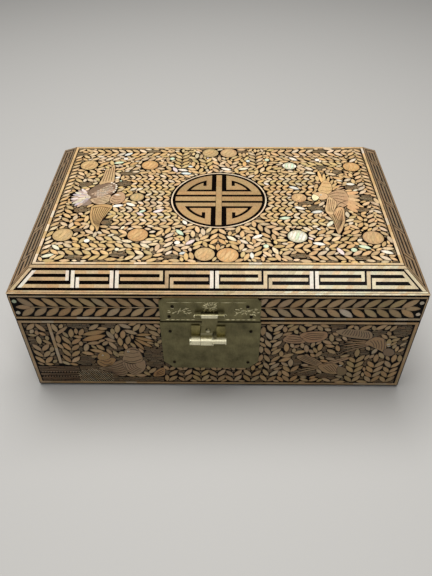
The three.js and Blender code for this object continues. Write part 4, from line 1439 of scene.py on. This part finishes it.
def make_fret(side, outlines, rng, palette):
    """A running fret on one slope, between two plain strips, with mitred ends."""
    panel, half = side_panel(side, "slope")

    def tone(u):
        """Tan strips; on the front paler towards the right, partly paler shell and partly a painted
        reflection of glare; browner on the short sides, which is painted shade.
        """
        # On the short sides the shell is mixed far towards dark brown: painted shade of the slopes that face
        # away from the light.
        if side in ("left", "right"):
            return varied(rng, mixed(palette.colours.shell, srgb(98, 72, 46), 0.68), 0.16)
        # On the front the strips grow paler towards the right: partly paler shell, partly a painted
        # reflection of the glare on that slope.
        pale = 0.55 * min(1.0, max(0.0, (u + 30) / 90)) if side == "front" else 0.1
        share = min(1.0, pale * rng.uniform(0.4, 1.6) + 0.4 * rng.random() ** 5)
        plain = palette.colours.mauve if u < 0 else palette.colours.shell
        return varied(rng, mixed(plain, srgb(226, 216, 182), share), 0.12)

    def piece_of_bar(foot, head, low, high, tint):
        outline = [(foot[0], low), (foot[1], low), (head[1], high), (head[0], high)]
        outlines.append((panel, outline, tint, 0.0))

    def quad(left, right, low, high, bright=False, lean=(0, 0)):
        """A bar between two places; a lean of 1 follows the mitre on that side."""
        white = bright and side in ("front", "back")
        tint = varied(rng, palette.colours.pearl, 0.06) if white else tone(left)
        foot, head = ((left + lean[0] * MITRE * v, right - lean[1] * MITRE * v) for v in (low, high))
        piece_of_bar(foot, head, low, high, tint)

    def long_bar(left, right, low, high, lean=(0, 0)):
        """A bar of short pieces. They are shorter and cut at a slant on the right of the front."""
        near = left + lean[0] * MITRE * high
        far = right - lean[1] * MITRE * high
        # On the right of the front the short slanting pieces, each with its own tint, give slanting streaks:
        # partly the shell's growth lines, partly painted glints.
        slanting = side == "front" and right > 40
        count = max(1, round((far - near) / (SLANTING_PIECE if slanting else BAR_PIECE)))
        slant = PIECE_SLANT if slanting else 0.0
        for i in range(count):
            start, end = (near + (far - near) * k / count for k in (i, i + 1))
            foot = (left + lean[0] * MITRE * low if i == 0 else start - slant,
                    right - lean[1] * MITRE * low if i == count - 1 else end - slant)
            head = (start + (slant if i else 0), end + (slant if i < count - 1 else 0))
            piece_of_bar(foot, head, low, high, tone(start))

    splits, doubles = FRONT_UPRIGHTS if side in ("front", "back") else SIDE_UPRIGHTS
    low, high = FRET_BARS[2][0], FRET_BARS[0][1]
    top, middle, foot = FRET_BARS
    mitre_strip = 3.0
    slant_from = 4.5
    slant_to = 7.4
    edge = 0.1
    for strip_foot, strip_head in PLAIN_STRIPS:
        long_bar(edge - half, half - edge, strip_foot, strip_head, (1, 1))
    for turn in (-1, 1):
        for start, end, bright in ((0.4, mitre_strip, False), (slant_from, slant_to, turn < 0)):
            reach = BETWEEN_STRIPS if end == mitre_strip else (low, high)
            near, far = sorted((turn * (half - start), turn * (half - end)))
            lean = (1, -1) if turn < 0 else (-1, 1)
            quad(near, far, *reach, bright, lean)
    slant = half - slant_to
    before_hook, after_hook = LEFT_HOOK[0], RIGHT_HOOK[1]
    long_bar(-slant, splits[0] + before_hook, *top, (1, 0))
    long_bar(-slant, splits[0] + before_hook, *middle, (1, 0))
    long_bar(-slant, splits[0] + UPRIGHT[0], *foot, (1, 0))
    long_bar(splits[-1] + UPRIGHT[1], slant, *top, (0, 1))
    long_bar(splits[-1] + after_hook, slant, *middle, (0, 1))
    long_bar(splits[-1] + after_hook, slant, *foot, (0, 1))
    for i, centre in enumerate(splits):
        for (left, right), *reach in ((LEFT_HOOK, middle[0], high), (UPRIGHT, low, high),
                                      (RIGHT_HOOK, low, middle[1])):
            quad(centre + left, centre + right, *reach, i == 0)
    for centre in doubles:
        for left, right in DOUBLE_STRIPS:
            quad(centre + left, centre + right, low, high, True)
    for before, centre, after in zip(splits, doubles, splits[1:]):
        long_bar(before + UPRIGHT[1], centre - BAR_END, *top)
        long_bar(before + after_hook, centre - MIDDLE_BAR_END, *middle)
        long_bar(before + after_hook, centre - BAR_END, *foot)
        long_bar(centre + BAR_END, after + before_hook, *top)
        long_bar(centre + MIDDLE_BAR_END, after + before_hook, *middle)
        long_bar(centre + BAR_END, after + UPRIGHT[0], *foot)


class SlopeInlayOperator(bpy.types.Operator):
    """Lay the running fret on the four slopes, and the strips round the flat top"""

    bl_idname = "jewelry_box.slope_inlay"
    bl_label = "Slope inlay"

    def execute(self, context):
        rng = np.random.default_rng(context.scene.box_inlay.seed + 1)
        palette = Palette(rng, 0.1)
        outlines = []
        for side in SIDES:
            make_fret(side, outlines, rng, palette)
        make_outlines("slope_fret_inlay", outlines, "lid", shell_material())
        inlay = Inlay()
        ridge = 0.5
        make_border(inlay, palette, TOP, (ridge - TOP_HALF[0], ridge - TOP_HALF[1]),
                    (TOP_HALF[0] - ridge, TOP_HALF[1] - ridge), context.scene.box_inlay.strip_width / MM)
        make_plates("top_border_inlay", inlay, "lid", shell_material())
        return {"FINISHED"}


class BandInlayOperator(bpy.types.Operator):
    """Lay a long double row of leaves round the lid's upright band"""

    bl_idname = "jewelry_box.band_inlay"
    bl_label = "Lid band inlay"

    def execute(self, context):
        rng = np.random.default_rng(context.scene.box_inlay.seed + 2)
        # A painted shade factor of 0.74: painted shade on the upright band, which faces away from the top
        # light
        palette = Palette(rng, 0.01, 0.74)
        inlay = Inlay()
        height = LID_RIM - LID_LOW.z
        edge = 1.2
        bare_end = 14
        middle = (3.1 + height - 3.0) / 2
        for side in SIDES:
            panel, half = side_panel(side, "band")
            for v, width in ((height - 2.35, 1.3), (2.1, 2.0)):
                inlay.strip(palette, panel, (edge - half, v), (half - edge, v), width)
            for turn in (-1, 1):
                u = turn * (half - edge - 0.1)
                inlay.strip(palette, panel, (u, 3.3), (u, height - 3.2), 0.8)
            inlay.strip(palette, panel, (bare_end - half, middle), (half - bare_end, middle), 0.7)
            self.plant_leaves(inlay, palette, panel, half, middle, rng)
        make_plates("lid_band_inlay", inlay, "lid", shell_material())
        return {"FINISHED"}

    def plant_leaves(self, inlay, palette, panel, half, middle, rng):
        """Leaves that lean outwards from the middle, and a level leaf and two discs at each end."""
        pitch = 8.9
        first = 4.5
        length = 13.8
        width = 5.5
        lean = math.radians(38)
        reach = 4.9
        disc = 3.3
        count = int((half - 15) / pitch)
        for turn in (-1, 1):
            for row in (-1, 1):
                for i in range(count + 1):
                    if i % 3 == 0:
                        palette.new_sheet()
                    u = turn * (first + i * pitch)
                    angle = row * lean if turn > 0 else math.pi - row * lean
                    inlay.add(LEAF, panel, u, middle + row * reach, angle, length * rng.uniform(0.96, 1.03),
                              width, palette.shell())
                end = turn * (half - 4.2)
                inlay.add(DISC, panel, end, middle + row * 5.8, 0.0, disc, disc, palette.bright())
            inlay.add(LEAF, panel, turn * (half - 9.5), middle, 0.0, 11.5, 4.6, palette.shell())


class WallInlayOperator(bpy.types.Operator):
    """Cover the body's four walls with sprigs, birds and hatching inside plain borders"""

    bl_idname = "jewelry_box.wall_inlay"
    bl_label = "Wall inlay"

    # Measured in from the edges of a wall: where the border starts, and where the field inside it starts
    BORDER_SIDE = 1.2
    BORDER_FOOT = 0.8
    BORDER_HEAD = 0.7
    BORDER_WIDTH = 2.2
    FIELD_SIDE = 4.4
    FIELD_FOOT = 3.4
    FIELD_HEAD = 3.3

    def execute(self, context):
        height = BODY_HIGH.z - BODY_LOW.z
        for number, side in enumerate(SIDES):
            rng = np.random.default_rng(context.scene.box_inlay.seed + 10 + number)
            # A painted shade factor of 0.72: painted shade on the upright walls, which face away from the top
            # light
            palette = Palette(rng, 0.0, 0.72)
            panel, half = side_panel(side, "wall")
            inlay = Inlay()
            make_border(inlay, palette, panel, (-half + self.BORDER_SIDE, self.BORDER_FOOT),
                        (half - self.BORDER_SIDE, height - self.BORDER_HEAD), self.BORDER_WIDTH)
            low = (-half + self.FIELD_SIDE, self.FIELD_FOOT)
            high = (half - self.FIELD_SIDE, height - self.FIELD_HEAD)
            garden = Garden(inlay, panel, low, high, palette, rng, WALL_LEAF)
            if side == "front":
                self.plant_front(garden)
            else:
                self.plant_plain_wall(garden, low, high)
            self.plant_tiers(garden, low, high)
            garden.fill_sprigs(int(half * 0.9), self.heading_at, (10, 26), (-1.2, 1.2))
            garden.fill_leaves(int(half * 5), self.heading_at, 5.6, 2.5)
            garden.hatch_rest()
            make_plates(f"{side}_wall_inlay", inlay, "box", shell_material())
            make_plates(f"{side}_wall_hatching", garden.hatching, "box", shell_material())
            if garden.outlines:
                make_outlines(f"{side}_wall_feathers", garden.outlines, "box", shell_material())
        return {"FINISHED"}

    @staticmethod
    def heading_at(u, v):
        """Sprigs on the walls grow upwards, leaning to and fro."""
        return math.pi / 2 + 0.5 * math.sin(u / 17.0 + v / 23.0)

    def plant_plain_wall(self, garden, low, high):
        """Fruit and hatching, spread evenly: what the hidden walls have besides their sprigs."""
        rng = garden.rng
        spacing = 36
        fruit_radius = 5.6
        fruit_gap = 0.7
        for u in range(int(low[0] + 20), int(high[0] - 10), spacing):
            place = (u + rng.uniform(-5, 5), rng.uniform(30, 46))
            tint = garden.palette.seen(srgb(198, 152, 100), 0.1)
            garden.plant_disc(place, fruit_radius, tint, fruit_gap)
            for _ in range(3):
                middle = (u + rng.uniform(-16, 16), rng.uniform(14, 62))
                garden.hatch_patch(middle, rng.uniform(6, 10), rng.uniform(2.5, 4.5))

    def plant_tiers(self, garden, low, high):
        """Upright sprigs along the foot, and shorter ones that hang from the upper border."""
        up = math.pi / 2
        spacing = 13.6
        count = int((high[0] - low[0]) / spacing)
        first = -(count - 1) / 2 * spacing
        for i in range(count):
            u = first + i * spacing
            lean = garden.rng.uniform(-0.12, 0.12)
            garden.plant_sprig((u, low[1] + 1), up + lean, garden.rng.uniform(16, 34), pitch=7.2, spread=40)
            hanging = (u + spacing / 2, high[1] - 1)
            garden.plant_sprig(hanging, -up + 3 * lean, garden.rng.uniform(12, 26), pitch=7.2, spread=42)

    def plant_front(self, garden):
        """Ducks on water to the left, two birds in flight to the right, and upright sprigs."""
        low, high = (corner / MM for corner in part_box("lower_lock_plate"))
        foot = BODY_LOW.z
        cut = 4.5
        garden.ground.take_box((low.x, low.z - foot + cut), (high.x, high.z - foot))
        garden.ground.take_box((low.x + cut, low.z - foot), (high.x - cut, high.z - foot))
        self.plant_left_of_lock(garden)
        self.plant_right_of_lock(garden)

    def plant_left_of_lock(self, garden):
        """A fence post, a duck and a duckling, a net and rippled water, golden leaves, and tall sprigs."""
        golden = srgb(200, 156, 96)
        post = -126.2
        garden.inlay.strip(garden.palette, garden.panel, (post, 27), (post, 74), 2.4)
        garden.ground.take_box((post - 1.6, 26), (post + 1.6, 76))
        plant_ducks(garden)
        self.plant_water(garden)
        garden.plant_sprig((-138.6, 27), math.radians(88), 24, pitch=7.6, spread=38)
        garden.plant_sprig((-136.6, 73.8), math.radians(-94), 12, pitch=7.4, spread=40)
        garden.plant_sprig((-117.4, 28), math.radians(80), 34, pitch=7.6, spread=38)
        garden.plant_leaf((-123.5, 61), math.radians(42), 15, 3.2)
        for base, degrees, length, width in (((-104, 55), 18, 20, 6.0), ((-103, 61.5), 14, 19, 5.0),
                                             ((-63, 59), -18, 15, 3.4), ((-63, 57), -38, 16, 3.4),
                                             ((-64, 55), -58, 13, 3.2), ((-62, 61.5), 4, 12, 3.2)):
            garden.plant_leaf(base, math.radians(degrees), length, width, garden.palette.seen(golden, 0.1))
        for base, degrees in (((-101, 51), 10), ((-84, 54), -60), ((-82, 50), -32), ((-83, 47), -8),
                              ((-100, 44), -14)):
            garden.plant_leaf(base, math.radians(degrees), 11, 3.9)
        garden.plant_sprig((-74, 73.5), math.radians(-62), 24, pitch=7.2, spread=38)
        garden.plant_sprig((-54, 73.5), math.radians(-75), 20, pitch=7.2, spread=38)
        for u, v, half_u, half_v in ((-142, 56, 4, 3), (-104, 72, 9, 3), (-80, 72, 7, 2.5),
                                     (-50, 38, 8, 8), (-50, 27, 8, 4), (-80, 46, 7, 3), (-106, 31, 9, 6)):
            garden.hatch_patch((u, v), half_u, half_v)

    def plant_water(self, garden):
        """Level ripples with dots between them, and a net of fine slanting strokes."""
        ripple = srgb(142, 114, 84)
        net = srgb(214, 194, 158)
        for u in np.arange(-143.5, -114, 2.3):
            for v in (15.6, 9.6):
                garden.add(LEAF, (u, v), 0.5, 1.9, 1.5, garden.palette.seen(ripple, 0.3))
        garden.ground.take_box((-146, 14.6), (-112, 16.6))
        garden.ground.take_box((-146, 8.6), (-112, 10.6))
        garden.hatch((-146, 3.4), (-112, 24), pitch=1.8, line=0.9, shortest=1.5, longest=12, tint=ripple)
        net_pitch = 2.0
        for i in range(14):
            for j in range(11):
                u = -114 + i * net_pitch + (j % 2) * net_pitch / 2
                v = 3.6 + j * 1.7
                if v < 21 - 0.45 * abs(u + 102):
                    garden.add(TILE, (u, v), -0.75, 1.9, 0.5, garden.palette.seen(net, 0.3))
        garden.ground.take_box((-112, 3.4), (-87, 15))
        garden.hatch((-112, 15), (-78, 24), pitch=1.3, line=0.62)
        garden.hatch((-87, 3.4), (-44, 9.5), pitch=1.5, line=0.7)

    def plant_right_of_lock(self, garden):
        """Two birds in flight, a cluster of broad leaves, and sprigs that stand along the foot."""
        plant_high_bird(garden)
        plant_low_bird(garden)
        plant_broad_leaves(garden)
        for start, degrees, length in (((59.3, 4.6), 92, 22), ((110.5, 4.6), 92, 34), ((126.2, 4.6), 92, 30),
                                       ((138.2, 4.6), 88, 26)):
            garden.plant_sprig(start, math.radians(degrees), length, pitch=6.4, spread=37)
        for foot in (75, 93.2):
            for degrees in (28, 90, 152):
                garden.plant_leaf((foot, 5), math.radians(degrees), 8.6, 3.6)
        for base, degrees in (((86, 64), -78), ((88, 56), -92), ((92, 51), -70), ((96, 57), -48),
                              ((73, 48), 78), ((79, 44), 84), ((83, 51), -14), ((85, 46), -34),
                              ((66, 47), 96), ((70, 42), 100)):
            garden.plant_leaf(base, math.radians(degrees), 9.4, 4.0)
        for u, v, half_u, half_v in ((90, 72.5, 6, 2.5), (139, 67, 7, 6), (98, 48, 9, 3.6), (110, 42, 9, 3.4),
                                     (90, 40, 9, 3.4), (62, 30, 6, 4.5), (70, 17, 11, 5), (88, 13, 8, 3),
                                     (122, 66, 6, 3), (104, 54, 7, 3)):
            garden.hatch_patch((u, v), half_u, half_v)
        for i in range(8):
            garden.plant_leaf((140.5, 16 + 6.8 * i), math.radians(46), 9.0, 3.5)
        for v in (12, 21, 30, 39, 48, 57, 66):
            garden.plant_leaf((41.5, v), math.radians(118), 10, 3.9)
            garden.plant_leaf((42.5, v), math.radians(48), 10.5, 4.0)


class StudioOperator(bpy.types.Operator):
    """Set the floor, the soft light and the camera"""

    bl_idname = "jewelry_box.studio"
    bl_label = "Studio"

    def execute(self, context):
        settings = context.scene.box_studio
        self.make_floor(context)
        self.make_lights(context, settings)
        self.make_camera(context, settings)
        context.scene.view_settings.view_transform = "Standard"
        return {"FINISHED"}

    def make_floor(self, context):
        half = 4.0
        mesh = bpy.data.meshes.new("floor")
        corners = [(-half, -half, 0), (half, -half, 0), (half, half, 0), (-half, half, 0)]
        mesh.from_pydata(corners, [], [(0, 1, 2, 3)])
        floor = in_scene("floor", mesh)
        material, _, shader = new_material("pale_floor")
        shader.inputs["Base Color"].default_value = (*context.scene.box_colours.floor, 1.0)
        shader.inputs["Roughness"].default_value = 0.7
        mesh.materials.append(material)

    def make_lights(self, context, settings):
        world = bpy.data.worlds.new("studio")
        world.use_nodes = True
        sky = world.node_tree.nodes["Background"]
        sky.inputs["Color"].default_value = (1.0, 0.99, 0.97, 1.0)
        sky.inputs["Strength"].default_value = settings.fill
        context.scene.world = world
        for name, place, size, power in (
                ("top_light", (-0.1, 0.2, 1.35), 1.0, settings.key),
                ("front_light", (0.3, -0.72, 1.1), 0.42, settings.glint)):
            data = bpy.data.lights.new(name, "AREA")
            data.shape = "SQUARE"
            data.size = size
            data.energy = power
            light = in_scene(name, data)
            light.location = place
            light.rotation_euler = (Vector((0, 0, 0.06)) - Vector(place)).to_track_quat("-Z", "Y").to_euler()

    def make_camera(self, context, settings):
        """The camera stands in front of the box, a little to its right, and looks down."""
        place = Vector((5.3, -376.6, 377.8)) * MM
        pitch = math.radians(43.68)
        yaw = math.radians(1.21)
        roll = math.radians(-0.62)
        data = bpy.data.cameras.new("camera")
        data.sensor_width = 36.0
        data.lens = settings.lens / MM
        camera = in_scene("camera", data)
        turned = Matrix.Rotation(yaw, 3, "Z")
        forward = turned @ Vector((0, math.cos(pitch), -math.sin(pitch)))
        right = turned @ Vector((1, 0, 0))
        up = right.cross(forward)
        rolled_right = right * math.cos(roll) + up * math.sin(roll)
        rolled_up = up * math.cos(roll) - right * math.sin(roll)
        basis = Matrix((rolled_right, rolled_up, -forward)).transposed()
        camera.matrix_world = Matrix.Translation(place) @ basis.to_4x4()
        context.scene.camera = camera


class BoxPanel(bpy.types.Panel):
    """Shows the sizes, the colours and the studio settings, and a button for each step"""

    bl_idname = "VIEW3D_PT_jewelry_box"
    bl_label = "Lacquer jewelry box"
    bl_space_type = "VIEW_3D"
    bl_region_type = "UI"
    bl_category = "Jewelry box"

    def draw(self, context):
        for settings in (context.scene.box_inlay, context.scene.box_colours, context.scene.box_studio):
            for key in settings.bl_rna.properties.keys():
                if key not in ("rna_type", "name"):
                    self.layout.prop(settings, key)
        for operator in OPERATORS:
            self.layout.operator(operator.bl_idname)


OPERATORS = (FinishOperator, TopInlayOperator, SlopeInlayOperator, BandInlayOperator, WallInlayOperator,
             StudioOperator)
SETTINGS = {"box_inlay": InlaySizes, "box_colours": Colours, "box_studio": StudioSettings}
CLASSES = (*SETTINGS.values(), *OPERATORS, BoxPanel)


def register():
    for made in CLASSES:
        bpy.utils.register_class(made)
    for name, group in SETTINGS.items():
        setattr(bpy.types.Scene, name, PointerProperty(type=group))


def unregister():
    for name in SETTINGS:
        delattr(bpy.types.Scene, name)
    for made in reversed(CLASSES):
        bpy.utils.unregister_class(made)


def main():
    register()
    for operator in OPERATORS:
        category, name = operator.bl_idname.split(".")
        getattr(getattr(bpy.ops, category), name)()


if __name__ == "__main__":
    main()
